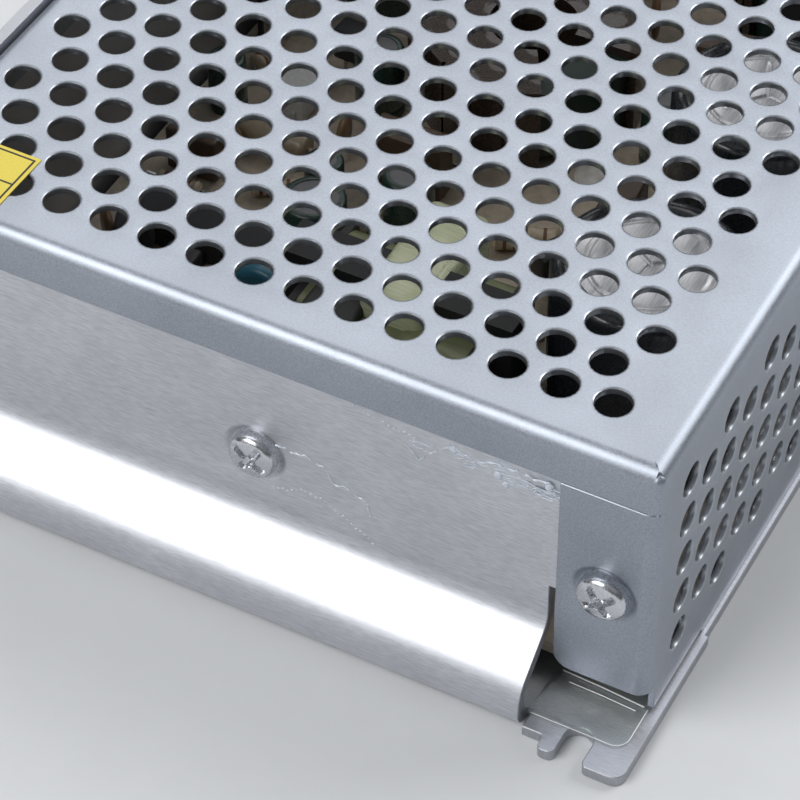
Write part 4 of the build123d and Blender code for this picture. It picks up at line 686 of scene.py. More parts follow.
@dataclass
class CoverSheet:
    """The perforated cover: top, side wall, skirts and front tab, folded from one sheet.

    The top is bowed down a little between its bends, as the photograph shows.
    """

    sheet: float = 0.8
    inner_bend: float = 1.0
    length: float = 135.22
    sag: float = 1.08
    hole_radius: float = 2.0
    pitch: float = 6.0
    right_margin: float = 9.0
    left_margin: float = 4.9
    front_margin: float = 7.41
    rear_margin: float = 6.5
    block_rows: int = 8
    block_shift: Pair = (0.4, 0.5)
    side_front_margin: float = 7.9
    side_top_margin: float = 7.5
    side_rows: int = 5
    skirt_depth: float = 6.0
    rear_skirt_depth: float = 16.0
    corner_seam: float = 0.9
    corner_relief: float = 0.94
    burr_radius: float = 0.32
    post_foot: float = 0.3
    tab_seam: float = 0.1
    tab_width: float = 11.2
    tab_bottom: float = 5.9
    tab_corner: float = 2.1
    tab_screw_inset: float = 5.7
    screw_height: float = 20.0
    wall_bottom: float = 1.6
    notch_rise: float = 0.6
    setback: float = 2.3
    notch_end: float = -56.7
    cheek_height: float = 24.0
    cheek_reach: float = 13.3
    left_skirt_start: float = 2.55
    window_low: Pair = (38.01, 7.75)
    window_high: Pair = (49.31, 14.45)
    window_land: float = 1.5
    dish: ScrewDish = field(default_factory=ScrewDish)

    def __post_init__(self) -> None:
        """Reads the cover's outer faces from the frame."""
        low, high = box_mm("cover")
        self.left, self.front, self.right, self.top = low[0], low[1], high[0], high[2]
        self.rear = self.front + self.length
        self.bend = self.inner_bend + self.sheet
        self.arc = self.bend * QUARTER_TURN
        self.flat_low = (self.left + self.bend, self.front + self.bend)
        self.flat_high = (self.right - self.bend, self.rear - self.bend)
        self.skirt_bottom = self.top - self.skirt_depth
        self.wall_start = self.flat_high[0] + self.arc

    def sagged(self, x: Array, y: Array) -> Array:
        """How far the top is bowed: sag 4 u (1 - u) sin(pi v), for shares u and v of the top."""
        u = np.clip((x - self.flat_low[0]) / (self.flat_high[0] - self.flat_low[0]), 0, 1)
        v = np.clip((y - self.flat_low[1]) / (self.flat_high[1] - self.flat_low[1]), 0, 1)
        return self.sag * 4 * u * (1 - u) * np.sin(HALF_TURN * v)

    def place_main(self, s: Array, y: Array, depth: Array) -> Array:
        """Lays the top, the bend and the side wall: s is X on the top."""
        path = FoldPath((self.flat_low[0], self.top), 0.0, 1,
                        ((self.flat_high[0] - self.flat_low[0], 0.0), (self.arc, -QUARTER_TURN),
                         (self.top, 0.0)), self.flat_low[0])
        x, z = path.at(s, depth)
        return np.column_stack([x, y, z - self.sagged(s, y)])

    def skirt_path(self, bend_line: float, outward: int) -> FoldPath:
        """Returns the line that a skirt's outer face follows from the top's bend line down.

        Args:
            bend_line: The X or Y of the top's bend line.
            outward: 1 if the skirt lies towards larger values, otherwise -1.
        """
        heading = 0.0 if outward > 0 else HALF_TURN
        return FoldPath((bend_line, self.top), heading, outward,
                        ((self.arc, -outward * QUARTER_TURN), (self.top, 0.0)))

    def place_tab(self, q: Array, z: Array, depth: Array) -> Array:
        """Lays the tab: q runs from the side wall's front bend line across the front."""
        path = FoldPath((self.right, self.flat_low[1]), -QUARTER_TURN, 1,
                        ((self.arc, -QUARTER_TURN), (self.tab_width, 0.0)))
        sunk = self.dish.sunk(q, z, self.tab_screw())
        return np.column_stack([*path.at(q, depth + sunk), z])

    def tab_screw(self) -> Pair:
        """Returns the screw's place in the tab's pattern."""
        return self.arc + self.tab_screw_inset - self.bend, self.screw_height

    def top_centres(self) -> list[Pair]:
        """Returns the centres of the top's holes, in punched blocks of rows."""
        row_step = self.pitch * math.sqrt(3) / 2
        span = self.length - self.front_margin - self.rear_margin
        seams = int(span / (self.block_rows * row_step))
        rows = int((span - seams * self.block_shift[1]) / row_step) + 1
        width = self.right - self.left - self.right_margin - self.left_margin - self.pitch / 2
        centres: list[Pair] = []
        for row in range(rows):
            block = row // self.block_rows
            y = self.front + self.front_margin + row * row_step + block * self.block_shift[1]
            start = self.right - self.right_margin - (row % 2) * self.pitch / 2
            start += self.block_shift[0] if block else 0.0
            centres += [(start - hole * self.pitch, y)
                        for hole in range(int(width / self.pitch) + 1)]
        return centres

    def side_centres(self) -> list[Pair]:
        """Returns the centres of the side wall's holes in the main pattern."""
        row_step = self.pitch * math.sqrt(3) / 2
        span = self.length - self.side_front_margin - self.rear_margin
        reach = self.hole_radius + self.window_land
        centres: list[Pair] = []
        for column in range(int(span / row_step) + 1):
            y = self.front + self.side_front_margin + column * row_step
            for row in range(self.side_rows - column % 2):
                z = self.top - self.side_top_margin - (row + (column % 2) / 2) * self.pitch
                clear_y = not self.window_low[0] - reach < y < self.window_high[0] + reach
                clear_z = not self.window_low[1] - reach < z < self.window_high[1] + reach
                if clear_y or clear_z:
                    centres.append((self.pattern(z), y))
        return centres

    def pattern(self, z: float) -> float:
        """Returns the main pattern's coordinate of a height on the side wall."""
        return self.wall_start + self.top - self.bend - z

    def bend_levels(self, start: float = 0.0) -> list[float]:
        """Returns the distances at which a quarter bend is divided."""
        return [start + self.arc * step / BEND_STEPS for step in range(BEND_STEPS + 1)]

    def main_panel(self) -> Panel:
        """Returns the top with the side wall."""
        seam = self.front + self.corner_seam
        rear_seam = self.rear - self.corner_seam
        relief = self.flat_high[0] + self.corner_relief
        tab_top, tab_low, notch, low, cheek, high = (self.pattern(z) for z in (
            self.skirt_bottom - self.tab_seam, self.tab_bottom, self.wall_bottom + self.notch_rise,
            self.wall_bottom, self.cheek_height, self.top - self.bend))
        fold_y, wall_y = self.flat_low[1], self.front + self.setback
        cheek_y = self.rear + self.cheek_reach
        corners = [
            self.flat_low, (self.flat_high[0], fold_y), (relief, seam), (tab_top, seam),
            (tab_top, fold_y), (tab_low, fold_y), (tab_low, wall_y), (notch, wall_y),
            (notch, self.notch_end), (low, self.notch_end), (low, cheek_y), (cheek, cheek_y),
            (cheek, self.rear), (high, self.rear), (relief, rear_seam), self.flat_high,
            (self.flat_low[0], self.flat_high[1]),
            (self.flat_low[0], self.front + self.left_skirt_start),
        ]
        holes = [punched(centre, self.hole_radius, self.sheet)
                 for centre in self.top_centres() + self.side_centres()]
        window = ((self.pattern(self.window_high[1]), self.window_low[0]),
                  (self.pattern(self.window_low[1]), self.window_high[0]))
        return Panel(corners, {0, 4, 15, 16}, self.place_main, self.sheet,
                     self.bend_levels(self.flat_high[0]),
                     holes=holes, cut_outs=[window], plain_rim=True)

    def skirt_panel(self, path: FoldPath, depth: float) -> Panel:
        """Returns the front or rear skirt, which stops short of the side wall."""
        low, high = self.flat_low[0], self.flat_high[0]
        end = self.arc + depth - self.bend
        edge = self.right - self.corner_seam
        corners = [(low, 0.0), (high, 0.0), (edge, self.corner_relief), (edge, end), (low, end)]
        return Panel(corners, {0}, path.placer_along_y(), self.sheet, self.bend_levels(), 1,
                     plain_rim=True)

    def corner_posts(self) -> list[Mesh]:
        """Builds the rounded corners between the side wall and the skirts, with a burr in front.

        A corner is a turned post with a domed top, tangent to both sheets' outer faces.
        """
        radius = self.corner_seam
        turns = np.linspace(0.0, QUARTER_TURN, 6)
        high = self.top - self.bend + self.post_foot
        dome = [(radius * math.sin(a), high + radius * math.cos(a)) for a in turns]
        parts: list[Mesh] = []
        for y, depth in ((self.front + radius, self.skirt_depth),
                         (self.rear - radius, self.rear_skirt_depth)):
            low = self.top - depth
            foot = [(radius, low + self.post_foot), (radius - self.post_foot, low), (0.0, low)]
            parts.append(revolved([*dome, *foot], Seat((self.right - radius, y, 0.0)), 24))
        ball = [(self.burr_radius * math.sin(a), self.burr_radius * math.cos(a))
                for a in np.linspace(0.0, HALF_TURN, 7)]
        inset = 1.3 * self.burr_radius
        parts.append(revolved(ball, Seat((self.right - inset, self.front + inset,
                                          self.skirt_bottom)), 12))
        return parts

    def left_panel(self) -> Panel:
        """Returns the left skirt."""
        low, high = self.front + self.left_skirt_start, self.flat_high[1]
        end = self.arc + self.skirt_depth - self.bend
        corners = [(0.0, high), (0.0, low), (end, low), (end, high)]
        place = self.skirt_path(self.flat_low[0], -1).placer_along_x()
        return Panel(corners, {0}, place, self.sheet, self.bend_levels(), plain_rim=True)

    def tab_panel(self) -> Panel:
        """Returns the front tab with its dish."""
        end = self.arc + self.tab_width - self.bend
        high = self.skirt_bottom - self.tab_seam
        corners = rounded_outline([(0.0, high, 0.0), (0.0, self.tab_bottom, 0.0),
                                   (end, self.tab_bottom, self.tab_corner), (end, high, 0.0)])
        screw = self.tab_screw()
        return Panel(corners, {0}, self.place_tab, self.sheet, self.bend_levels(),
                     holes=[self.dish.hole(screw, self.sheet)], extra_rings=self.dish.rings(screw),
                     plain_rim=True)

    def build(self, material: Material, edge: Material) -> None:
        """Builds the cover and hides the plain one."""
        front = self.skirt_panel(self.skirt_path(self.flat_low[1], -1), self.skirt_depth)
        rear = self.skirt_panel(self.skirt_path(self.flat_high[1], 1), self.rear_skirt_depth)
        parts, edges = join_panels([self.main_panel(), front, rear, self.left_panel(),
                                    self.tab_panel()])
        posts = self.corner_posts()
        piece = make_piece("cover_sheet", parts + posts, material, "cover_steel",
                           edge_material=edge, edges=edges + [False] * len(posts))
        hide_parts("cover")


@dataclass
class ChassisSheet:
    """The aluminium base: slotted plate, stepped front wall and left wall from one sheet."""

    sheet: float = 1.5
    inner_bend: float = 1.0
    ear_reach: float = 2.05
    step_shift: float = 6.72
    step_angle: float = math.radians(50.0)
    step_bend: float = 4.0
    step_corner_z: float = 10.9
    wall_top: float = 38.57
    wall_left: float = -47.15
    wall_right: float = 46.14
    notch_half: float = 35.7
    notch_z: float = 17.0
    ear_inner: float = 36.3
    ear_step: float = 1.9
    finger: Pair = (38.8, 40.8)
    slot: Pair = (40.8, 44.1)
    slot_depth: float = 4.75
    finger_round: float = 0.7
    ear_round: float = 1.5
    ear_length: float = 22.8
    inset_behind_ear: float = 0.4
    relief: float = 0.6
    screw_height: float = 20.0
    screws_x: Pair = (0.0, 42.27)
    left_wall_cut: Pair = (63.91, 24.0)
    standoff_radius: float = 3.0
    standoff_hole: float = 2.13
    screw_hole: float = 1.53
    countersink: Pair = (2.78, 1.28)
    side_screws: tuple[Pair, ...] = ((-55.95, 37.0), (48.05, 37.0))
    rectifier_hole: Pair = (10.0, 27.55)
    dish: ScrewDish = field(default_factory=ScrewDish)

    def __post_init__(self) -> None:
        """Reads the outer sizes from the frame and works out the wall's fold line."""
        self.half_width, self.half_length, self.height = box_mm("base_chassis")[1]
        self.bend = self.inner_bend + self.sheet
        self.lip = -self.half_length + self.ear_reach
        self.wall_front = self.lip + self.step_shift
        self.left_limit = -self.wall_front - self.relief
        self.fold_x, self.fold_y = -self.half_width + self.bend, self.lip + self.bend
        tangent = self.step_bend * math.tan(self.step_angle / 2)
        rise = self.step_shift / math.tan(self.step_angle)
        slope = self.step_shift / math.sin(self.step_angle) - 2 * tangent
        lip_run = self.step_corner_z - rise - tangent - self.bend
        outer, inner = self.step_bend + self.sheet / 2, self.step_bend - self.sheet / 2
        wall_run = self.wall_top - self.step_corner_z - tangent
        self.front_path = FoldPath(
            (self.fold_y, 0.0), HALF_TURN, 1,
            ((self.bend * QUARTER_TURN, -QUARTER_TURN), (lip_run, 0.0),
             (outer * self.step_angle, -self.step_angle), (slope, 0.0),
             (inner * self.step_angle, self.step_angle), (wall_run, 0.0)))
        self.wall_end = self.front_path.knots()[-1]
        self.left_path = FoldPath(
            (self.fold_x, 0.0), HALF_TURN, 1,
            ((self.bend * QUARTER_TURN, -QUARTER_TURN), (self.height - self.bend, 0.0)))
        self.left_end = self.left_path.knots()[-1]

    def place_plate(self, x: Array, y: Array, depth: Array) -> Array:
        """Lays the plate: depth runs up from its underside."""
        return np.column_stack([x, y, depth])

    def place_front(self, x: Array, q: Array, depth: Array) -> Array:
        """Lays the front wall, with a dish round each screw."""
        height = self.wall_top - (self.wall_end - q)
        sunk = np.zeros_like(x)
        for screw in self.screws_x:
            sunk = sunk + self.dish.sunk(x, height, (screw, self.screw_height))
        return np.column_stack([x, *self.front_path.at(q, depth + sunk)])

    def pattern(self, z: float) -> float:
        """Returns the front wall pattern's coordinate of a height."""
        return self.wall_end - (self.wall_top - z)

    def left_pattern(self, z: float) -> float:
        """Returns the left wall pattern's coordinate of a height."""
        return self.left_end - (self.height - z)

    def ear(self) -> list[Triple]:
        """Returns the front right ear's corners from its inner side to its tip, with radii."""
        tip = -self.half_length
        radius = (self.slot[1] - self.slot[0]) / 2
        middle, centre_y = sum(self.slot) / 2, tip + self.slot_depth - radius
        steps = 12
        arc = [(middle - radius * math.cos(HALF_TURN * step / steps),
                centre_y + radius * math.sin(HALF_TURN * step / steps), 0.0)
               for step in range(steps + 1)]
        return [
            (self.ear_inner, tip + self.ear_step, 0.0), (self.finger[0], tip + self.ear_step, 0.4),
            *((x, tip, self.finger_round) for x in self.finger), *arc,
            (self.slot[1], tip, self.finger_round), (self.half_width, tip, self.ear_round),
        ]

    def plate_panel(self) -> Panel:
        """Returns the plate with its four slotted ears."""
        fold_x, fold_y, wall_y = self.fold_x, self.fold_y, self.wall_front
        right = self.half_width - self.inset_behind_ear
        edge_y = -self.half_length + self.ear_length
        ear = self.ear()
        corners = [(self.notch_half, fold_y, 0.0), (self.ear_inner, fold_y, 0.0), *ear,
                   (self.half_width, edge_y, 0.0), (right, edge_y, 0.0), (right, -edge_y, 0.0),
                   (self.half_width, -edge_y, 0.0), *((x, -y, r) for x, y, r in reversed(ear)),
                   (self.ear_inner, -self.lip, 0.0), (-self.ear_inner, -self.lip, 0.0),
                   *((-x, -y, r) for x, y, r in ear), (-self.half_width, -wall_y, 0.0),
                   (fold_x, -wall_y, 0.0), (fold_x, self.left_limit, 0.0),
                   (fold_x, -self.left_limit, 0.0), (fold_x, wall_y, 0.0),
                   (-self.half_width, wall_y, 0.0), *((-x, y, r) for x, y, r in reversed(ear)),
                   (-self.ear_inner, fold_y, 0.0), (-self.notch_half, fold_y, 0.0)]
        outline = rounded_outline(corners)
        ends = zip(outline, outline[1:] + outline[:1])
        joined = {index for index, (start, end) in enumerate(ends) if self.is_joined(start, end)}
        radius = self.standoff_hole
        holes = [RimmedHole(spot, ((radius, 0.0), (radius, self.sheet)))
                 for spot in corners_within("board_standoffs", self.standoff_radius)]
        return Panel(outline, joined, self.place_plate, self.sheet, holes=holes, step=8.0)

    def is_joined(self, start: Pair, end: Pair) -> bool:
        """Tells whether a wall goes on from the plate's edge between two points."""
        along_front = all(abs(y - self.fold_y) < 1e-6 and abs(x) < self.notch_half + 1e-6
                          for x, y in (start, end))
        along_left = all(abs(x - self.fold_x) < 1e-6 and abs(y) < self.left_limit + 1e-6
                         for x, y in (start, end))
        return along_front or along_left

    def front_panel(self) -> Panel:
        """Returns the stepped front wall with a notch at each lower corner."""
        notch = self.pattern(self.notch_z)
        half, end = self.notch_half, self.wall_end
        corners = [(half, 0.0), (half, notch), (self.wall_right, notch), (self.wall_right, end),
                   (self.wall_left, end), (self.wall_left, notch), (-half, notch), (-half, 0.0)]
        screws = [(x, self.pattern(self.screw_height)) for x in self.screws_x]
        rings = [ring for screw in screws for ring in self.dish.rings(screw)]
        holes = [self.dish.hole(screw, self.sheet) for screw in screws]
        return Panel(corners, {7}, self.place_front, self.sheet, self.front_path.levels(), 1,
                     holes=holes, extra_rings=rings, step=8.0)

    def left_panel(self) -> Panel:
        """Returns the left wall, lower at the terminal end, with its screw holes."""
        limit = self.left_limit
        cut_y, cut_z = self.left_wall_cut
        low_q = self.left_pattern(cut_z)
        corners = [(0.0, limit), (low_q, limit), (low_q, cut_y), (self.left_end, cut_y),
                   (self.left_end, -limit), (0.0, -limit)]
        bore, (mouth, depth) = self.screw_hole, self.countersink
        sunk = ((mouth, 0.0), (bore, depth), (bore, self.sheet), (mouth, self.sheet))
        holes = [RimmedHole((self.left_pattern(z), y), sunk) for y, z in self.side_screws]
        y, z = self.rectifier_hole
        holes.append(RimmedHole((self.left_pattern(z), y), ((bore, 0.0), (bore, self.sheet))))
        return Panel(corners, {5}, self.left_path.placer_along_x(), self.sheet,
                     self.left_path.levels(), holes=holes, step=8.0)

    def build(self, material: Material, edge: Material) -> None:
        """Builds the base and hides the plain one."""
        parts, edges = join_panels([self.plate_panel(), self.front_panel(), self.left_panel()])
        piece = make_piece("chassis_sheet", parts, material, "chassis_aluminium",
                           edge_material=edge, edges=edges)
        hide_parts("base_chassis")


STEEL = Finish("galvanised_steel", (0.362, 0.393, 0.446), 0.42, 0.85, grain_size=0.20,
               grain_color=0.18, grain_bump=0.010, cloud_size=14.0, cloud_color=0.12)
PUNCHED_EDGE = Finish("punched_edge", (0.41, 0.435, 0.47), 0.32, 0.95, grain_size=0.5,
                      grain_color=0.06, grain_bump=0.001, cloud_size=3.0, cloud_color=0.10,
                      roughness_spread=0.03)
ALUMINIUM = Finish("brushed_aluminium", (0.62, 0.632, 0.672), 0.45, 0.95, Grain.ALONG_X,
                   grain_size=0.10, grain_color=0.18, grain_bump=0.005, cloud_size=9.0,
                   cloud_color=0.09, roughness_spread=0.05)
SHEARED_EDGE = Finish("sheared_edge", (0.46, 0.47, 0.50), 0.52, 0.90, Grain.ALONG_Z,
                      grain_size=0.22, grain_color=0.14, grain_bump=0.02)
TAPE = Finish("pale_tape", (0.70, 0.74, 0.48), 0.30, grain=Grain.ALONG_X, coat=0.25)
# TAPE is the tape's own colour; this is the same tape darkened as painted shade, for the lump
# before the core and the plain winding.
TAPE_PAINTED_SHADE = Finish("tape_painted_shade", (0.23, 0.25, 0.13), 0.34, grain=Grain.ALONG_X, coat=0.2)
NODE_FINISHES = {
    "screw_zinc": Finish("bright_plating", (0.62, 0.63, 0.66), 0.24, 1.0, grain_size=0.3,
                         grain_color=0.12, grain_bump=0.008),
    "clear_film": Finish("clear_film", (0.50, 0.62, 0.59), 0.06, grain_size=3.0,
                         grain_bump=0.01, alpha=0.11),
    "standoff_brass": Finish("turned_brass", (0.62, 0.50, 0.26), 0.35, 1.0),
    "board_laminate": Finish("tan_laminate", (0.48, 0.41, 0.32), 0.55, grain_size=1.2,
                             grain_color=0.18),
    "device_black": Finish("moulded_black", (0.025, 0.025, 0.028), 0.50),
    "device_white": Finish("moulded_white", (0.72, 0.72, 0.70), 0.45),
    "pad_grey": Finish("grey_pad", (0.42, 0.43, 0.45), 0.70),
    "clamp_steel": Finish("plain_steel", (0.42, 0.42, 0.43), 0.40, 1.0, Grain.ALONG_X),
    "can_aluminium": Finish("drawn_can", (0.68, 0.68, 0.70), 0.38, 0.8, Grain.ALONG_Y,
                            grain_size=0.16, grain_color=0.26, grain_bump=0.012),
    "sleeve_black": Finish("shrunk_sleeve", (0.020, 0.024, 0.030), 0.30, coat=0.3),
    "small_capacitor": Finish("dark_sleeve", (0.02, 0.05, 0.04), 0.32, coat=0.3),
    "ferrite_black": Finish("sintered_ferrite", (0.014, 0.014, 0.016), 0.50),
    "bobbin_black": Finish("bobbin_black", (0.03, 0.03, 0.03), 0.5),
    # The plain winding gets the tape darkened as painted shade.
    "winding_tape": TAPE_PAINTED_SHADE,
    "core_green": Finish("coated_core", (0.012, 0.035, 0.028), 0.45),
    "copper_wire": Finish("enamelled_wire", (0.045, 0.030, 0.022), 0.30, 0.3, coat=0.4),
    "film_capacitor_yellow": Finish("moulded_ochre", (0.22, 0.18, 0.09), 0.4),
    "disc_blue": Finish("dipped_blue", (0.035, 0.17, 0.25), 0.35, coat=0.3),
    "disc_dark": Finish("dipped_dark", (0.03, 0.05, 0.04), 0.4),
    "fuse_glass": Finish("fuse_glass", (0.75, 0.78, 0.78), 0.12, alpha=0.6),
    "clip_metal": Finish("tinned_metal", (0.66, 0.66, 0.64), 0.3, 1.0),
    "resistor_tan": Finish("lacquered_body", (0.36, 0.29, 0.20), 0.35, coat=0.3),
    "terminal_black": Finish("terminal_black", (0.018, 0.018, 0.018), 0.38),
    "lid_clear": Finish("clear_lid", (0.78, 0.82, 0.84), 0.08, alpha=0.20, grain_bump=0.002),
    "lamp_green": Finish("tinted_lens", (0.16, 0.62, 0.25), 0.15, alpha=0.75, coat=0.5),
    "trimmer_blue": Finish("moulded_blue", (0.05, 0.16, 0.50), 0.35),
    "trimmer_white": Finish("rotor_white", (0.78, 0.78, 0.74), 0.4),
    "slider_red": Finish("moulded_red", (0.60, 0.03, 0.02), 0.32, coat=0.3),
}


class BoardParts:
    """The parts that keep their own solids and get a finish each."""

    replaced = (
        "base_chassis", "cover", "yellow_label", "tab_screw", "clamp_screw", "terminal_screws",
        "board_screws", "side_screws", "bulk_capacitor_front_can", "bulk_capacitor_front_sleeve",
        "bulk_capacitor_rear_can", "bulk_capacitor_rear_sleeve",
    )

    def dress(self) -> None:
        """Gives every kept node the finish of its material slot."""
        slots = {entry["node"]: entry["material_slot"] for entry in frame["record"]["subparts"]}
        made: dict[str, Material] = {}
        for name, node in frame["nodes"].items():
            slot = slots[name]
            if name in self.replaced or slot not in NODE_FINISHES:
                continue
            if slot not in made:
                made[slot] = NODE_FINISHES[slot].build()
            node.data.materials.clear()
            node.data.materials.append(made[slot])
            for part in node.material_slots:
                part.material = made[slot]
        LOG.info("finishes on kept nodes: %d", len(made))


@dataclass
class LabelSticker:
    """The yellow sticker on the top, which follows the bowed sheet under it."""

    cover: CoverSheet
    cells: tuple[int, int] = (24, 20)
    lift: float = 0.003
    frame_inset: float = 0.55
    divider_share: float = 0.47

    def build(self) -> None:
        """Builds the sticker as a thin closed slab over a grid.

        The height is the cover's top less its bow, plus a small lift.
        """
        low, high = box_mm("yellow_label")
        thickness = high[2] - low[2] - self.lift
        x, y = np.meshgrid(np.linspace(low[0], high[0], self.cells[0] + 1),
                           np.linspace(low[1], high[1], self.cells[1] + 1), indexing="ij")
        base = self.cover.top - self.cover.sagged(x, y) + self.lift
        divider = low[1] + (high[1] - low[1]) * self.divider_share
        label = PrintedLabel("yellow_paper", (low + high) / 2,
                             (high - low) / 2 - self.frame_inset, divider)
        piece = make_piece("label_sticker", [slab(x, y, base, thickness)], label.build(),
                           "label_yellow")
        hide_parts("yellow_label")


def grid_faces(shape: tuple[int, int]) -> Array:
    """Returns the four-cornered faces of a grid of points that is stored row by row."""
    index = np.arange(shape[0] * shape[1]).reshape(shape)
    return np.stack([index[:-1, :-1], index[1:, :-1], index[1:, 1:], index[:-1, 1:]],
                    axis=-1).reshape(-1, 4)


def slab(x: Array, y: Array, base: Array, thickness: float) -> Mesh:
    """Builds a closed slab over a grid of points.

    Args:
        x: The X of each grid point.
        y: The Y of each grid point.
        base: The height of the underside at each grid point.
        thickness: The slab's thickness.

    Returns:
        The points and the faces.
    """
    quads = grid_faces(x.shape)
    index = np.arange(x.size).reshape(x.shape)
    under = np.stack([x, y, base], axis=-1).reshape(-1, 3)
    rim = np.concatenate([index[:-1, 0], index[-1, :-1], index[:0:-1, -1], index[0, :0:-1]])
    after = np.roll(rim, -1)
    sides = np.column_stack([rim, after, after + x.size, rim + x.size])
    return (np.concatenate([under, under + np.array(UP) * thickness]),
            np.concatenate([quads[:, ::-1], quads + x.size, sides]))


@dataclass(frozen=True)
class Seat:
    """A place with an axis that points out of it, for turned and moulded parts.

    A local point (a, b, c) lies at origin + a u + b v + c w, where w is the axis, and u and v
    are square to it and turned about it.
    """

    origin: Triple
    axis: Triple = UP
    turn: float = 0.0

    def place(self, local: Array) -> Array:
        """Carries local points into space."""
        w = np.array(self.axis, float)
        side = np.array(UP if abs(w[2]) < 0.9 else (0.0, 1.0, 0.0))
        u = np.cross(side, w)
        u /= np.linalg.norm(u)
        v = np.cross(w, u)
        first = math.cos(self.turn) * u + math.sin(self.turn) * v
        second = math.cos(self.turn) * v - math.sin(self.turn) * u
        return np.array(self.origin) + local @ np.stack([first, second, w])


def strip_faces(rows: int, columns: int) -> Array:
    """Returns the faces of a grid whose rows are closed rings."""
    column = np.arange(columns)
    after = (column + 1) % columns
    levels = np.arange(rows - 1)[:, None] * columns
    return np.stack([levels + column, levels + after, levels + columns + after,
                     levels + columns + column], axis=-1).reshape(-1, 4)


def revolved(profile: Sequence[Pair], seat: Seat, sides: int = 32) -> Mesh:
    """Turns a profile of radius and height about a seat's axis.

    Args:
        profile: The radii and heights, with a radius of zero at a closed end.
        seat: The place and axis.
        sides: The number of flats round the axis.

    Returns:
        The points and the faces.
    """
    radius, height = np.array(profile, float).T[..., None]
    angle = around(sides)
    local = np.stack([radius * np.cos(angle), radius * np.sin(angle),
                      np.repeat(height, sides, axis=1)], axis=-1).reshape(-1, 3)
    return seat.place(local), strip_faces(len(profile), sides)


def rounded_block(size: Sequence[float], radius: float, seat: Seat, steps: int = 2) -> Mesh:
    """Builds a block with rounded edges that stands on its seat.

    A point p of the sharp block goes to q + radius (p - q) / |p - q|, where q is p held inside
    the block that is smaller by the radius all round.

    Args:
        size: The sizes along the seat's three directions.
        radius: The radius of the edges.
        seat: The place of the middle of its underside.
        steps: The number of strips in a rounding.

    Returns:
        The points and the faces.
    """
    half = np.array(size, float) / 2
    ramp = radius * np.arange(steps + 1) / steps
    lines = [np.concatenate([-h + ramp, h - ramp[::-1]]) for h in half]
    groups: list[Mesh] = []
    for axis, first, second in ((0, 1, 2), (1, 2, 0), (2, 0, 1)):
        a, b = np.meshgrid(lines[first], lines[second], indexing="ij")
        for side in (-1.0, 1.0):
            sharp = np.zeros((a.size, 3))
            sharp[:, first], sharp[:, second] = a.ravel(), b.ravel()
            sharp[:, axis] = side * half[axis]
            inner = np.clip(sharp, radius - half, half - radius)
            away = sharp - inner
            length = np.linalg.norm(away, axis=1)[:, None]
            local = inner + radius * away / length + np.array((0.0, 0.0, half[2]))
            groups.append((seat.place(local), grid_faces(a.shape)))
    points, faces = join_groups(groups)
    return points, np.concatenate(faces)


def tube(path: Array, radii: Array | float, plane_normal: Triple, sides: int = 8) -> Mesh:
    """Carries a circle along a path that lies in a plane.

    A ring is path + radius (cos a n + sin a (t x n)), with t the path's direction and n the
    plane's normal. A ring of radius zero closes each end.

    Args:
        path: The path's points.
        radii: The radius at each point, or one for all.
        plane_normal: The normal of the path's plane.
        sides: The number of flats round the tube.

    Returns:
        The points and the faces.
    """
    direction = np.gradient(path, axis=0)
    direction /= np.linalg.norm(direction, axis=1)[:, None]
    normal = np.array(plane_normal, float)
    across = np.cross(direction, normal)
    angle = around(sides)
    spokes = np.cos(angle)[:, None] * normal + np.sin(angle)[:, None] * across[:, None, :]
    rings = path[:, None, :] + np.broadcast_to(radii, len(path))[:, None, None] * spokes
    closed = np.concatenate([np.repeat(path[:1, None], sides, 1), rings,
                             np.repeat(path[-1:, None], sides, 1)])
    return closed.reshape(-1, 3), strip_faces(len(closed), sides)


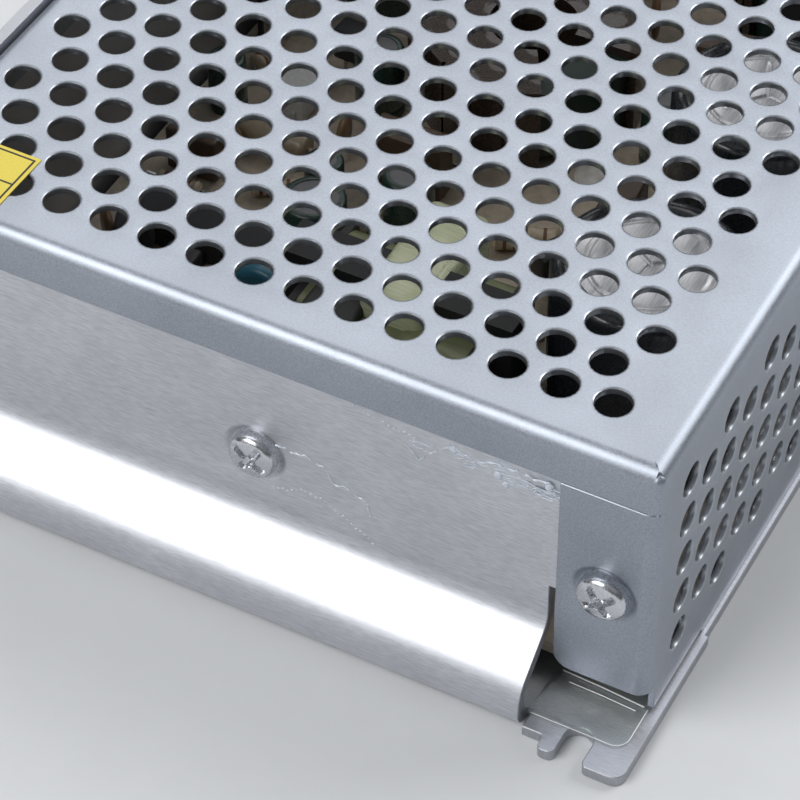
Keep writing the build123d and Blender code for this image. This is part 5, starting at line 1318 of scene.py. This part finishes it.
@dataclass(frozen=True)
class CrossScrew:
    """A screw with a cross recess, a domed or flush head and a threaded shank."""

    head_radius: float
    head_height: float
    shank_radius: float
    shank_length: float
    flush: bool = False
    edge_round: float = 0.75
    crown: float = 0.45
    recess_half_length: float = 2.05
    recess_half_width: float = 0.42
    recess_depth: float = 1.15
    pitch: float = 0.5
    sides: int = 96
    rings: int = 34

    def recess(self, radius: Array, angle: Array) -> Array:
        """Depth of the cross: for each arm, a flat floor whose flanks are short smooth ramps.

        With a along the arm and b across it, the arm's depth is D s((w - |b|) / 0.16 + 0.5)
        s((L - |a|) / 0.4 + 0.5), where s eases from 0 to 1 and D shrinks towards the arm's end.
        """
        a, b = np.abs(radius * np.cos(angle)), np.abs(radius * np.sin(angle))
        scale = self.head_radius / 2.9

        def ease(value: Array) -> Array:
            """Goes smoothly from 0 to 1."""
            share = np.clip(value, 0.0, 1.0)
            return share * share * (3 - 2 * share)

        def arm(along: Array, across: Array) -> Array:
            """Returns the depth of one bar of the cross."""
            width = self.recess_half_width * scale * (1 - 0.22 * along / self.head_radius)
            length = self.recess_half_length * scale
            depth = self.recess_depth * scale * (1 - 0.55 * along / length)
            return (np.clip(depth, 0, None) * ease((width - across) / (0.16 * scale) + 0.5)
                    * ease((length - along) / (0.4 * scale) + 0.5))

        core = self.recess_depth * scale * ease((0.75 * scale - radius) / (0.3 * scale) + 0.5)
        return np.maximum(np.maximum(arm(a, b), arm(b, a)), core)

    def build(self, seat: Seat) -> Mesh:
        """Builds the screw on the face that its head rests on.

        Args:
            seat: The middle of that face, with the axis out of it. A flush head's seat is
                the middle of its own top.

        Returns:
            The points and the faces.
        """
        top, crown, edge, low = ((0.0, 0.0, 0.05, -self.head_height) if self.flush else
                                 (self.head_height, self.crown, self.edge_round, 0.0))
        flat = np.linspace(0.0, self.head_radius - edge, self.rings)
        profile = [(r, top - crown * (r / self.head_radius) ** 2) for r in flat]
        start = profile[-1][1]
        turns = [QUARTER_TURN * step / 4 for step in range(1, 5)]
        profile += [(self.head_radius - edge + edge * math.sin(a), start - edge * (1 - math.cos(a)))
                    for a in turns]
        if not self.flush:
            profile.append((self.head_radius, low))
        profile.append((self.shank_radius, low))
        turns_count = max(2, int((self.shank_length + low) / self.pitch))
        for thread in range(turns_count):
            height = low - self.pitch * thread
            profile += [(self.shank_radius, height - 0.1 * self.pitch),
                        (self.shank_radius * 0.86, height - 0.5 * self.pitch),
                        (self.shank_radius, height - 0.9 * self.pitch)]
        profile += [(self.shank_radius * 0.8, -self.shank_length), (0.0, -self.shank_length)]
        points, faces = revolved(profile, Seat((0.0, 0.0, 0.0)), self.sides)
        radius = np.hypot(points[:, 0], points[:, 1])
        angle = np.arctan2(points[:, 1], points[:, 0])
        top_points = (self.rings + 1) * self.sides
        points[:top_points, 2] -= self.recess(radius, angle)[:top_points]
        local = points[:, [1, 0, 2]] * np.array([-1.0, 1.0, 1.0])
        return seat.place(local), faces


@dataclass
class Screws:
    """Every screw of the supply, placed from the boxes of their plain nodes."""

    head_height: float = 2.1
    terminal_head_height: float = 2.0
    flush_head_height: float = 1.28
    board_head_radius: float = 2.9
    shank_radius: float = 1.5
    front_turns: Pair = (0.62, 0.95)
    terminal_count: int = 7
    terminal_turns: tuple[float, ...] = (0.3, 0.9, 0.1, 0.6, 1.2, 0.45, 0.8)
    coarse: dict[str, int] = field(default_factory=lambda: {"sides": 64, "rings": 24})

    def front(self, node: str, turn: float) -> Mesh:
        """Builds a pan head screw that points back along Y."""
        low, high = box_mm(node)
        middle = (low + high) / 2
        radius = (high[0] - low[0]) / 2
        length = high[1] - low[1] - self.head_height
        seat = Seat((middle[0], low[1] + self.head_height, middle[2]), (0.0, -1.0, 0.0), turn)
        return CrossScrew(radius, self.head_height, self.shank_radius, length).build(seat)

    def terminals(self) -> list[Mesh]:
        """Builds the terminal screws along the block."""
        low, high = box_mm("terminal_screws")
        radius, height = (high[1] - low[1]) / 2, self.terminal_head_height
        places = np.linspace(low[0] + radius, high[0] - radius, self.terminal_count)
        screw = CrossScrew(radius, height, 1.75, high[2] - low[2] - height, **self.coarse)
        return [screw.build(Seat((x, (low[1] + high[1]) / 2, high[2] - height), turn=turn))
                for x, turn in zip(places, self.terminal_turns)]

    def board(self) -> list[Mesh]:
        """Builds the four screws that hold the board on its standoffs."""
        low, high = box_mm("board_screws")
        radius, height = self.board_head_radius, self.head_height
        screw = CrossScrew(radius, height, 1.45, high[2] - low[2] - height, **self.coarse)
        return [screw.build(Seat((x, y, high[2] - height), turn=0.2 * x))
                for x, y in corners_within("board_screws", radius)]

    def sides(self) -> list[Mesh]:
        """Builds the two flush screws in the left wall."""
        low, high = box_mm("side_screws")
        radius = (high[2] - low[2]) / 2
        screw = CrossScrew(radius, self.flush_head_height, self.shank_radius, high[0] - low[0],
                           flush=True, recess_depth=1.0, **self.coarse)
        return [screw.build(Seat((low[0], y, (low[2] + high[2]) / 2), (-1.0, 0.0, 0.0), 0.3 * y))
                for y in (low[1] + radius, high[1] - radius)]

    def build(self, material: Material) -> None:
        """Builds each group of screws as one piece."""
        groups = {
            "tab_screw": [self.front("tab_screw", self.front_turns[0])],
            "clamp_screw": [self.front("clamp_screw", self.front_turns[1])],
            "terminal_screws": self.terminals(), "board_screws": self.board(),
            "side_screws": self.sides(),
        }
        for node, screws in groups.items():
            piece = make_piece(f"{node}_turned", screws, material, "screw_zinc", TURNED_SHARP)
            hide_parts(node)


@dataclass
class FilmLines:
    """The clear film's edge on the front right ear, and its two creases there, coloured near white
    as a painted highlight.
    """

    sheet: float = 0.25
    corner: float = 1.6
    start_x: float = 36.3
    end_y: float = -69.5
    bow: float = 0.08
    widths: Triple = (0.7, 1.3, 1.0)
    creases: Rows = (
        (36.9, -68.7, 46.9, -69.3), (38.2, -69.9, 46.3, -70.2))
    radius: float = 0.075

    def build(self) -> None:
        """Builds the lines as thin ridges that sink into the film's upper face, in a near white
        painted highlight.
        """
        low, high = box_mm("insulation_film")
        front, right, top = low[1], high[0], low[2] + self.sheet
        turns = np.linspace(0.0, QUARTER_TURN, 7)
        corner = [(right - self.corner + self.corner * math.sin(a),
                   front + self.corner - self.corner * math.cos(a)) for a in turns]
        lines = [[(self.start_x, front), (self.start_x + 5.0, front), *corner,
                  (right, self.end_y)]]
        lines += [[(x0, y0), ((x0 + x1) / 2, (y0 + y1) / 2 + self.bow), (x1, y1)]
                  for x0, y0, x1, y1 in self.creases]
        parts: list[Mesh] = []
        for line, share in zip(lines, self.widths):
            path = np.column_stack([np.array(line), np.full(len(line), top)])
            parts.append(tube(path, share * self.radius, UP))
        # Painted highlight: near white stands in for the glint on the clear film's edge and
        # creases.
        painted_highlight = Finish("painted_highlight_line", (0.86, 0.88, 0.88), 0.16, grain_size=1.5, coat=0.6)
        make_piece("film_lines", parts, painted_highlight.build(), "clear_film")


@dataclass
class WoundTape:
    """The tape that bulges out of the main transformer on both sides of its core."""

    back: tuple[float, ...] = (-2.2, 15.8, -47.8, -39.7, 30.4)
    front: tuple[float, ...] = (5.7, 15.9, -56.3, -50.1, 27.4)
    cheek: tuple[float, ...] = (-4.8, 5.6, -56.6, -50.0, 28.2)
    low: float = 12.0

    def block(self, box: Sequence[float], radius: float) -> Mesh:
        """Builds a rounded block from its X range, Y range and top."""
        x0, x1, y0, y1, top = box
        return rounded_block((x1 - x0, y1 - y0, top - self.low), radius,
                             Seat(((x0 + x1) / 2, (y0 + y1) / 2, self.low), turn=QUARTER_TURN), 4)

    def build(self) -> None:
        """Builds the pale lump behind the core, the one before it in painted shade, and the cheek.
        """
        made = (("tape_behind_core", self.back, 1.4, TAPE, "winding_tape"),
                # The lump before the core uses the tape darkened as painted shade.
                ("tape_before_core", self.front, 2.4, TAPE_PAINTED_SHADE, "winding_tape"),
                ("bobbin_cheek", self.cheek, 0.6, NODE_FINISHES["bobbin_black"], "bobbin_black"))
        for name, box, radius, finish, slot in made:
            make_piece(name, [self.block(box, radius)], finish.build(), slot)


@dataclass
class GlueTrails:
    """Thin strings and drops of clear glue on the front wall, as X and height in the wall."""

    wall: float = -70.73
    strings: tuple[tuple[Pair, ...], ...] = (
        ((2.7, 22.4), (5.6, 22.5), (8.5, 22.1), (9.8, 19.9), (12.0, 19.9), (13.8, 18.9),
         (14.3, 16.9)),
        ((18.6, 30.2), (20.2, 28.9), (22.3, 31.3), (24.4, 32.8), (26.0, 31.8), (28.1, 32.3),
         (30.4, 32.6), (32.8, 32.6), (35.7, 32.4)),
    )
    dotted: tuple[tuple[Pair, ...], ...] = (
        ((2.2, 15.5), (6.5, 17.0), (8.8, 16.4), (10.8, 15.2), (13.0, 13.9), (14.7, 12.7)),
        ((12.4, 33.1), (14.0, 32.9), (16.0, 32.2), (18.3, 32.1), (20.2, 31.6)),
    )
    blobs: Rows = (
        (29.4, 31.0, 0.55), (30.3, 30.0, 0.45), (24.2, 32.3, 0.5), (35.2, 32.0, 0.5))
    smear: tuple[float, float, float, float] = (19.5, 36.0, 30.6, 33.4)
    smear_count: int = 30
    string_radius: float = 0.11
    drop_radius: float = 0.16
    seed: int = 4

    def along(self, points: Sequence[Pair], step: float) -> Array:
        """Divides a line of points evenly, with a small sideways waver."""
        corners = np.array(points, float)
        lengths = np.concatenate([[0.0], np.cumsum(np.hypot(*np.diff(corners, axis=0).T))])
        where = np.arange(0.0, lengths[-1], step)
        x = np.interp(where, lengths, corners[:, 0])
        z = np.interp(where, lengths, corners[:, 1])
        waver = 0.16 * np.sin(where * 2.1) + 0.09 * np.sin(where * 5.3 + 1.0)
        return np.column_stack([x, np.full_like(x, self.wall), z + waver])

    def curl(self, x: float, z: float, radius: float, turn: float) -> Mesh:
        """Builds a thin open curl on the wall: 0.7 of a circle that is stretched along X."""
        angle = turn + np.linspace(0.0, 1.4 * HALF_TURN, 10)
        path = np.column_stack([x + 1.7 * radius * np.cos(angle), np.full(10, self.wall),
                                z + 0.7 * radius * np.sin(angle)])
        return tube(path, 0.55 * self.string_radius, (0.0, 1.0, 0.0), 5)

    def drop(self, x: float, z: float, radius: float) -> Mesh:
        """Builds a flat drop on the wall: half an ellipsoid, closed at the back."""
        turns = np.linspace(0.0, QUARTER_TURN, 5)
        profile = [(radius * math.sin(a), 0.5 * radius * math.cos(a)) for a in turns]
        profile.append((0.0, -0.02))
        return revolved(profile, Seat((x, self.wall, z), (0.0, -1.0, 0.0)), 10)

    def build(self) -> None:
        """Builds the strings and drops as one piece."""
        chance = np.random.default_rng(self.seed)
        parts: list[Mesh] = []
        for points in self.strings:
            path = self.along(points, 0.25)
            radii = self.string_radius * (0.6 + 0.8 * chance.random(len(path)))
            start = 0
            while start < len(path) - 4:
                stop = min(len(path), start + int(chance.integers(6, 16)))
                parts.append(tube(path[start:stop], radii[start:stop], (0.0, 1.0, 0.0), 7))
                start = stop + int(chance.integers(0, 3))
        x0, x1, z0, z1 = self.smear
        for share in chance.random(self.smear_count):
            x = x0 + (x1 - x0) * share
            z = z0 + (z1 - z0) * chance.random() * (0.6 + 0.4 * math.sin(0.9 * x))
            parts.append(self.curl(x, z, 0.25 + 0.5 * chance.random(), 6.0 * chance.random()))
        for points in self.dotted:
            spots = self.along(points, 0.62)
            sizes = self.drop_radius * (0.5 + 0.9 * chance.random(len(spots)))
            parts += [self.drop(x, z, size) for (x, _, z), size in zip(spots, sizes)]
        parts += [self.drop(x, z, size) for x, z, size in self.blobs]
        glue = Finish("clear_glue", (0.76, 0.82, 0.90), 0.14, alpha=0.6, grain_size=0.5,
                      grain_bump=0.02, coat=0.6)
        make_piece("glue_trails", parts, glue.build(), "clear_film")


@dataclass
class SmallParts:
    """Small parts that stand on the board between the large ones."""

    board_top: float = 5.6
    electrolytics: Rows = (
        (-16.0, -29.0, 4.0, 12.0), (-8.5, -19.0, 3.2, 11.0), (-20.5, -18.5, 2.5, 8.0),
        (22.0, -23.5, 3.2, 11.5), (-39.0, -46.0, 2.5, 9.0), (-23.5, 1.5, 3.2, 10.0),
        (34.0, 49.0, 4.0, 12.0), (-21.5, 31.0, 4.0, 14.0), (-41.0, -7.0, 2.5, 8.0),
        (13.0, 9.0, 3.2, 11.0))
    films: Rows = (
        (-13.0, -10.0, 10.0, 4.0, 8.5, 0.0), (15.0, -9.0, 4.2, 10.0, 9.0, 0.1),
        (-23.0, 16.0, 4.0, 9.0, 8.0, 0.0), (15.5, 24.0, 10.0, 4.5, 9.0, 0.15),
        (-38.0, -20.0, 7.2, 3.0, 6.5, 0.0))
    discs: Rows = (
        (-3.5, -30.5, 2.6, 0.3), (-36.0, -15.0, 2.2, 1.2), (-23.0, -9.0, 2.6, 0.2),
        (16.5, 3.0, 3.0, 1.4), (-22.0, 45.0, 2.6, 0.0), (-40.5, -37.0, 2.4, 0.8),
        (2.0, 30.0, 3.0, 0.4))
    resistors: Rows = (
        (-14.0, -19.5, 1.57, 6.3), (-9.0, -26.5, 0.0, 6.3), (-27.0, -19.5, 0.5, 6.3),
        (-2.5, -19.5, 1.57, 6.3), (17.5, -17.0, 1.57, 6.3), (-41.0, 3.0, 1.57, 6.3),
        (-15.0, -35.0, 0.0, 6.3), (-38.0, -24.5, 0.0, 6.3), (-22.0, -40.5, 1.57, 6.3),
        (14.0, 56.0, 0.0, 9.0), (-22.5, 54.0, 1.57, 9.0), (5.0, -14.0, 0.4, 9.0))
    transistors: Rows = (
        (-36.0, -38.0, 0.4), (-18.0, -23.5, 2.0), (-30.0, 6.5, 3.1), (-28.0, -40.5, 0.0),
        (11.0, -19.0, 1.0))
    jumpers: Rows = (
        (-33.0, -43.0, 10.0, 1.57), (-12.0, -5.0, 9.0, 0.0), (-26.0, -30.0, 8.0, 1.57),
        (18.0, -30.5, 8.0, 1.4), (24.5, 8.0, 9.0, 0.0), (-30.0, 52.0, 10.0, 0.0),
        (26.0, 53.0, 9.0, 1.57))
    glue_blobs: Rows = (
        (20.6, -30.5, 3.0), (22.3, -49.0, 2.6), (-9.6, -39.5, 2.4), (20.5, -17.5, 2.8),
        (21.0, 3.8, 3.0), (-20.0, 6.0, 3.2), (7.5, 2.0, 2.8), (-27.0, 28.0, 2.6),
        (-13.5, -44.5, 1.8), (17.0, 53.0, 2.6))
    lead_radius: float = 0.3
    seed: int = 11

    def seat(self, x: float, y: float, turn: float = 0.0, lift: float = 0.0) -> Seat:
        """Returns a place on the board."""
        return Seat((x, y, self.board_top + lift), turn=turn)

    def capacitor(self, x: float, y: float, radius: float, height: float) -> tuple[Mesh, Mesh]:
        """Builds a small can's sleeve and its bare top."""
        fold = radius - 0.9
        sleeve = [(0.0, 0.0), (radius * 0.96, 0.0), (radius, 0.3), (radius, 1.0),
                  (radius * 0.94, 1.3), (radius, 1.6), (radius, height - 0.5),
                  (radius - 0.15, height - 0.15), (radius - 0.5, height), (fold, height),
                  (fold, height - 0.25), (0.0, height - 0.25)]
        top = [(0.0, height - 0.3), (fold + 0.02, height - 0.3), (fold + 0.02, height - 0.12),
               (fold * 0.9, height - 0.08), (0.0, height - 0.08)]
        place = self.seat(x, y)
        return revolved(sleeve, place, 28), revolved(top, place, 28)

    def disc(self, x: float, y: float, radius: float, turn: float) -> Mesh:
        """Builds a dipped disc that stands upright: an ellipsoid, thin across the disc."""
        turns = np.linspace(0.0, HALF_TURN, 9)
        profile = [(radius * math.sin(a), 0.55 * math.cos(a) * (1.6 + math.sin(a)) / 1.6)
                   for a in turns]
        return revolved(profile, Seat((x, y, self.board_top + radius + 1.2), level(turn)), 20)

    def legs(self, x: float, y: float, half: float, turn: float, height: float) -> list[Mesh]:
        """Builds the two straight leads of an upright part."""
        shift = half * np.array(level(turn))
        path = np.array([[0.0, 0.0, 0.0], [0.0, 0.0, height]])
        return [tube(path + np.array([x + s * shift[0], y + s * shift[1], self.board_top]),
                     self.lead_radius, (1.0, 0.0, 0.0), 6) for s in (-1.0, 1.0)]

    def bridge(self, x: float, y: float, length: float, turn: float, height: float) -> Mesh:
        """Builds a wire that rises from the board, runs level and goes down again."""
        half, bend = length / 2, min(0.8, height * 0.6)
        rise = [(-half, 0.0)]
        rise += [(-half + bend * (1 - math.cos(a)), height - bend * (1 - math.sin(a)))
                 for a in np.linspace(0.0, QUARTER_TURN, 5)]
        outline = np.array(rise + [(-a, b) for a, b in reversed(rise)])
        path = outline[:, :1] * np.array(level(turn)) + outline[:, 1:] * np.array(UP)
        path = path + np.array([x, y, self.board_top])
        normal = (-math.sin(turn), math.cos(turn), 0.0)
        return tube(path, self.lead_radius, normal, 6)

    def resistor(self, x: float, y: float, turn: float,
                 length: float) -> tuple[Mesh, list[Mesh], Mesh]:
        """Builds a lying resistor: its body with fuller ends, its bands and its lead."""
        radius = 0.19 * length
        half, lift = length / 2, radius + 0.25
        place = Seat((x, y, self.board_top + lift), level(turn))

        def swell(t: float) -> float:
            """Returns the body's radius at a distance from its middle."""
            return radius * (0.84 + 0.16 * math.cos(2 * HALF_TURN * t / length) ** 2)

        turns = np.linspace(0.0, QUARTER_TURN, 4)
        start = [(radius * math.sin(a), -half + 0.5 * radius * (1 - math.cos(a))) for a in turns]
        middle = [(swell(t), t) for t in np.linspace(-half + 0.6 * radius, half - 0.6 * radius, 9)]
        end = [(r, -t) for r, t in reversed(start)]
        body = revolved(start + middle + end, place, 18)
        bands = []
        for share in (-0.28, -0.14, 0.0, 0.26):
            t = share * length
            edge = swell(t) + 0.03
            bands.append(revolved([(0.0, t - 0.22), (edge, t - 0.22), (edge, t + 0.22),
                                   (0.0, t + 0.22)], place, 18))
        lead = self.bridge(x, y, length + 4.0, turn, lift)
        return body, bands, lead

    def blob(self, x: float, y: float, radius: float, chance: np.random.Generator) -> Mesh:
        """Builds a lump of glue: half a ball whose radius waves with height and angle."""
        rows, columns = 9, 24
        lift = np.linspace(QUARTER_TURN, 0.0, rows)[:, None]
        angle = around(columns)[None, :]
        waves = chance.uniform(0.06, 0.16, 3)
        phase = chance.uniform(0.0, 6.0, 3)
        reach = radius * (1 + waves[0] * np.sin(2 * angle + phase[0]) * np.cos(lift)
                          + waves[1] * np.sin(3 * angle + phase[1]) * np.cos(lift)
                          + waves[2] * np.sin(5 * lift + phase[2]) * np.cos(lift))
        level_reach = reach * np.cos(lift)
        local = np.stack([level_reach * np.cos(angle), level_reach * np.sin(angle),
                          0.62 * reach * np.sin(lift)], axis=-1).reshape(-1, 3)
        under = np.zeros((columns, 3))
        return (self.seat(x, y).place(np.concatenate([local, under])),
                strip_faces(rows + 1, columns))

    def build(self) -> None:
        """Builds the small parts, one piece for each kind."""
        chance = np.random.default_rng(self.seed)
        glue = Finish("white_glue", (0.74, 0.72, 0.68), 0.35, grain_size=1.2, grain_bump=0.08,
                      coat=0.3)
        made = {
            "sleeves": ("small_capacitor", NODE_FINISHES["small_capacitor"]),
            "tops": ("can_aluminium", Finish("small_top", (0.17, 0.17, 0.18), 0.45, 0.8)),
            "films": ("film_capacitor_yellow", Finish("small_film", (0.09, 0.055, 0.035), 0.4)),
            "discs": ("disc_dark", Finish("dipped_tan", (0.22, 0.13, 0.07), 0.4, coat=0.2)),
            "bodies": ("resistor_tan", Finish("small_body", (0.50, 0.42, 0.30), 0.4, coat=0.3)),
            "bands": ("resistor_tan", Finish("band_lacquer", (0.16, 0.07, 0.04), 0.4)),
            "cases": ("device_black", NODE_FINISHES["device_black"]),
            "wires": ("clip_metal", NODE_FINISHES["clip_metal"]), "glue": ("device_white", glue),
        }
        kinds: dict[str, list[Mesh]] = {kind: [] for kind in made}
        wires = kinds["wires"]
        for place in self.electrolytics:
            sleeve, top = self.capacitor(*place)
            kinds["sleeves"].append(sleeve)
            kinds["tops"].append(top)
        for x, y, wide, deep, tall, turn in self.films:
            seat = self.seat(x, y, turn, 0.4)
            kinds["films"].append(rounded_block((wide, deep, tall), 0.5, seat))
            wires += self.legs(x, y, max(wide, deep) / 2 - 1.2,
                               turn if wide > deep else turn + QUARTER_TURN, 1.0)
        for x, y, radius, turn in self.discs:
            kinds["discs"].append(self.disc(x, y, radius, turn))
            wires += self.legs(x, y, 0.55 * radius, turn + QUARTER_TURN, radius)
        for place in self.resistors:
            body, bands, lead = self.resistor(*place)
            kinds["bodies"].append(body)
            kinds["bands"] += bands
            wires.append(lead)
        for x, y, turn in self.transistors:
            kinds["cases"].append(rounded_block((4.6, 3.6, 4.7), 0.6, self.seat(x, y, turn, 2.5)))
            wires += self.legs(x, y, 1.27, turn, 3.0) + self.legs(x, y, 0.0, turn, 3.0)[:1]
        for x, y, length, turn in self.jumpers:
            wires.append(self.bridge(x, y, length, turn, 1.0))
        kinds["glue"] = [self.blob(*place, chance) for place in self.glue_blobs]
        for kind, parts in kinds.items():
            slot, finish = made[kind]
            make_piece(f"small_{kind}", parts, finish.build(), slot, TURNED_SHARP)


@dataclass
class BulkCapacitor:
    """An input capacitor: a shrunk sleeve over a can with a scored top."""

    node: str
    groove_turn: float
    fold: float = 2.5
    edge_round: float = 1.3
    bead_height: float = 3.2
    bead_depth: float = 0.7
    groove_half_width: float = 0.22
    groove_depth: float = 0.28
    rings: int = 44
    sides: int = 132

    def __post_init__(self) -> None:
        """Reads the capacitor's size and place from its sleeve's box."""
        low, high = box_mm(f"{self.node}_sleeve")
        self.radius = (high[0] - low[0]) / 2
        self.middle = (low + high) / 2
        self.low, self.high = low[2], high[2]

    def seat(self) -> Seat:
        """Returns the place under the capacitor."""
        return Seat((self.middle[0], self.middle[1], self.low), turn=self.groove_turn)

    def groove(self, x: Array, y: Array) -> Array:
        """Depth of the score: three arms from the middle, and a ring near the fold.

        An arm at angle t is where |x sin t - y cos t| is under the half width and
        x cos t + y sin t is between 0 and the arm's length.
        """
        depth = np.zeros_like(x)
        for turn, reach in ((0.0, 6.2), (2.1, 5.6), (4.1, 5.6)):
            along = x * math.cos(turn) + y * math.sin(turn)
            across = np.abs(x * math.sin(turn) - y * math.cos(turn))
            near = np.clip((self.groove_half_width - across) / 0.12 + 0.5, 0, 1)
            within = np.clip((reach - along) / 0.3, 0, 1) * np.clip(along / 0.1 + 0.5, 0, 1)
            depth = np.maximum(depth, near * within)
        ring = np.clip((0.3 - np.abs(np.hypot(x, y) - 7.0)) / 0.2, 0, 1) * 0.5
        return self.groove_depth * np.maximum(depth, ring)

    def build(self, sleeve_material: Material, can_material: Material) -> None:
        """Builds the sleeve and the can's top over the plain nodes."""
        height, radius = self.high - self.low, self.radius
        bore = radius - self.fold
        edge = self.edge_round
        turns = [QUARTER_TURN * step / 6 for step in range(7)]
        bead = [(radius - self.bead_depth * math.sin(HALF_TURN * step / 8) ** 2,
                 self.bead_height + 0.25 * (step - 4)) for step in range(9)]
        top = [(radius - edge + edge * math.cos(a), height - edge + edge * math.sin(a))
               for a in turns]
        sleeve = [(0.0, 0.0), (radius - 0.4, 0.0), (radius, 0.4), *bead, *top,
                  (bore + 0.15, height - 0.02), (bore, height - 0.2), (bore, height - 0.9),
                  (0.0, height - 0.9)]
        piece = make_piece(f"{self.node}_wrap", [revolved(sleeve, self.seat(), 72)],
                           sleeve_material, "sleeve_black", TURNED_SHARP)
        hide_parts(f"{self.node}_sleeve")
        rings = np.linspace(0.0, bore + 0.05, self.rings)
        crown = [(r, height - 0.42 - 0.12 * (r / bore) ** 2) for r in rings]
        disc = [*crown, (bore + 0.05, height - 0.88), (0.0, height - 0.88)]
        points, faces = revolved(disc, Seat((0.0, 0.0, 0.0)), self.sides)
        top = slice((self.rings - 1) * self.sides)
        points[top, 2] -= self.groove(points[top, 0], points[top, 1])
        piece = make_piece(f"{self.node}_lid", [(self.seat().place(points), faces)],
                           can_material, "can_aluminium", TURNED_SHARP)
        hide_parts(f"{self.node}_can")


@dataclass
class Studio:
    """Camera, floor and lights."""

    camera_place: Triple = (126.62, -272.76, 269.49)
    azimuth: float = math.radians(28.2753)
    elevation: float = math.radians(45.4273)
    roll: float = math.radians(-0.3714)
    focal_pixels: float = 3174.35
    picture_pixels: float = 800.0
    sensor: float = 36.0
    floor_half: float = 2.5

    def camera(self) -> None:
        """Places the camera: forward and right from the two angles, turned by the roll."""
        az, el = self.azimuth, self.elevation
        forward = Vector((-math.sin(az) * math.cos(el), math.cos(az) * math.cos(el), -math.sin(el)))
        level = Vector((math.cos(az), math.sin(az), 0.0))
        upward = level.cross(forward)
        right = level * math.cos(self.roll) + upward * math.sin(self.roll)
        up = right.cross(forward)
        turn = Matrix((right, up, -forward)).transposed()
        data = bpy.data.cameras.new("camera")
        data.sensor_width = self.sensor
        data.lens = self.focal_pixels / self.picture_pixels * self.sensor
        data.clip_start, data.clip_end = 0.01, 20.0
        camera = bpy.data.objects.new("camera", data)
        camera.matrix_world = Matrix.Translation(Vector(self.camera_place) * MM) @ turn.to_4x4()
        bpy.context.scene.collection.objects.link(camera)
        bpy.context.scene.camera = camera

    def floor(self) -> None:
        """Lays the pale floor just under the plate."""
        half = self.floor_half
        mesh = bpy.data.meshes.new("floor")
        drop = -0.02 * MM
        mesh.from_pydata([(-half, -half, drop), (half, -half, drop), (half, half, drop),
                          (-half, half, drop)], [], [(0, 1, 2, 3)])
        mesh.materials.append(Finish("pale_floor", (0.66, 0.67, 0.68), 0.8, grain_size=5.0, ior=1.2,
                                     grain_color=0.01, grain_bump=0.0, cloud_size=300.0,
                                     cloud_color=0.02).build())
        piece = bpy.data.objects.new("floor", mesh)
        bpy.context.scene.collection.objects.link(piece)

    def lamp(self, name: str, direction: Sequence[float], distance: float, size: Sequence[float],
             power: float) -> None:
        """Hangs a soft rectangular lamp that looks at the object.

        Args:
            name: The lamp's name.
            direction: The direction from the object to the lamp.
            distance: The distance in metres.
            size: The lamp's width and height in metres.
            power: The lamp's power in watts.
        """
        data = bpy.data.lights.new(name, "AREA")
        data.shape = "RECTANGLE"
        data.size, data.size_y = size
        data.energy = power
        lamp = bpy.data.objects.new(name, data)
        toward = Vector(direction).normalized()
        aim = toward.to_track_quat("Z", "Y").to_matrix().to_4x4()
        lamp.matrix_world = Matrix.Translation(toward * distance + Vector((0, 0, 0.02))) @ aim
        bpy.context.scene.collection.objects.link(lamp)

    def world(self, zenith: float, horizon: float) -> None:
        """Fills the surroundings with a soft light that grows towards the zenith.

        Args:
            zenith: The level straight above.
            horizon: The level at the horizon.
        """
        world = bpy.data.worlds.new("world")
        world.use_nodes = True
        nodes = Nodes(world.node_tree)
        place = nodes.add("TexCoord", "Generated", {})
        up = nodes.add("SeparateXYZ", "Z", {0: place})
        level = nodes.add("MapRange", "Result", {"Value": up, "To Min": horizon, "To Max": zenith})
        nodes.fill(world.node_tree.nodes["Background"],
                   {"Color": (0.93, 0.96, 1.0, 1.0), "Strength": level})
        bpy.context.scene.world = world

    def build(self) -> None:
        """Sets up everything around the object."""
        self.camera()
        self.floor()
        self.lamp("key", (-0.36, -0.60, 0.72), 1.0, (0.62, 0.50), 5.4)
        self.lamp("front", (-0.33, -0.87, 0.36), 1.1, (0.70, 0.40), 1.3)
        self.lamp("right", (0.46, 0.60, 0.62), 1.2, (0.62, 0.70), 6.1)
        self.lamp("rear", (-0.26, 0.60, 0.75), 1.2, (1.20, 1.00), 6.6)
        self.world(0.365, 0.087)
        bpy.context.scene.view_settings.view_transform = "Standard"


def main() -> None:
    """Builds the classes in order."""
    logging.basicConfig(level=logging.INFO, format="%(message)s")
    Studio().build()
    BoardParts().dress()
    cover = CoverSheet()
    cover.build(STEEL.build(), PUNCHED_EDGE.build())
    ChassisSheet().build(ALUMINIUM.build(), SHEARED_EDGE.build())
    LabelSticker(cover).build()
    Screws().build(NODE_FINISHES["screw_zinc"].build())
    FilmLines().build()
    WoundTape().build()
    GlueTrails().build()
    SmallParts().build()
    sleeve, can = NODE_FINISHES["sleeve_black"].build(), NODE_FINISHES["can_aluminium"].build()
    for node, turn in (("bulk_capacitor_front", 0.5), ("bulk_capacitor_rear", 1.9)):
        BulkCapacitor(node, turn).build(sleeve, can)


if __name__ == "__main__":
    main()
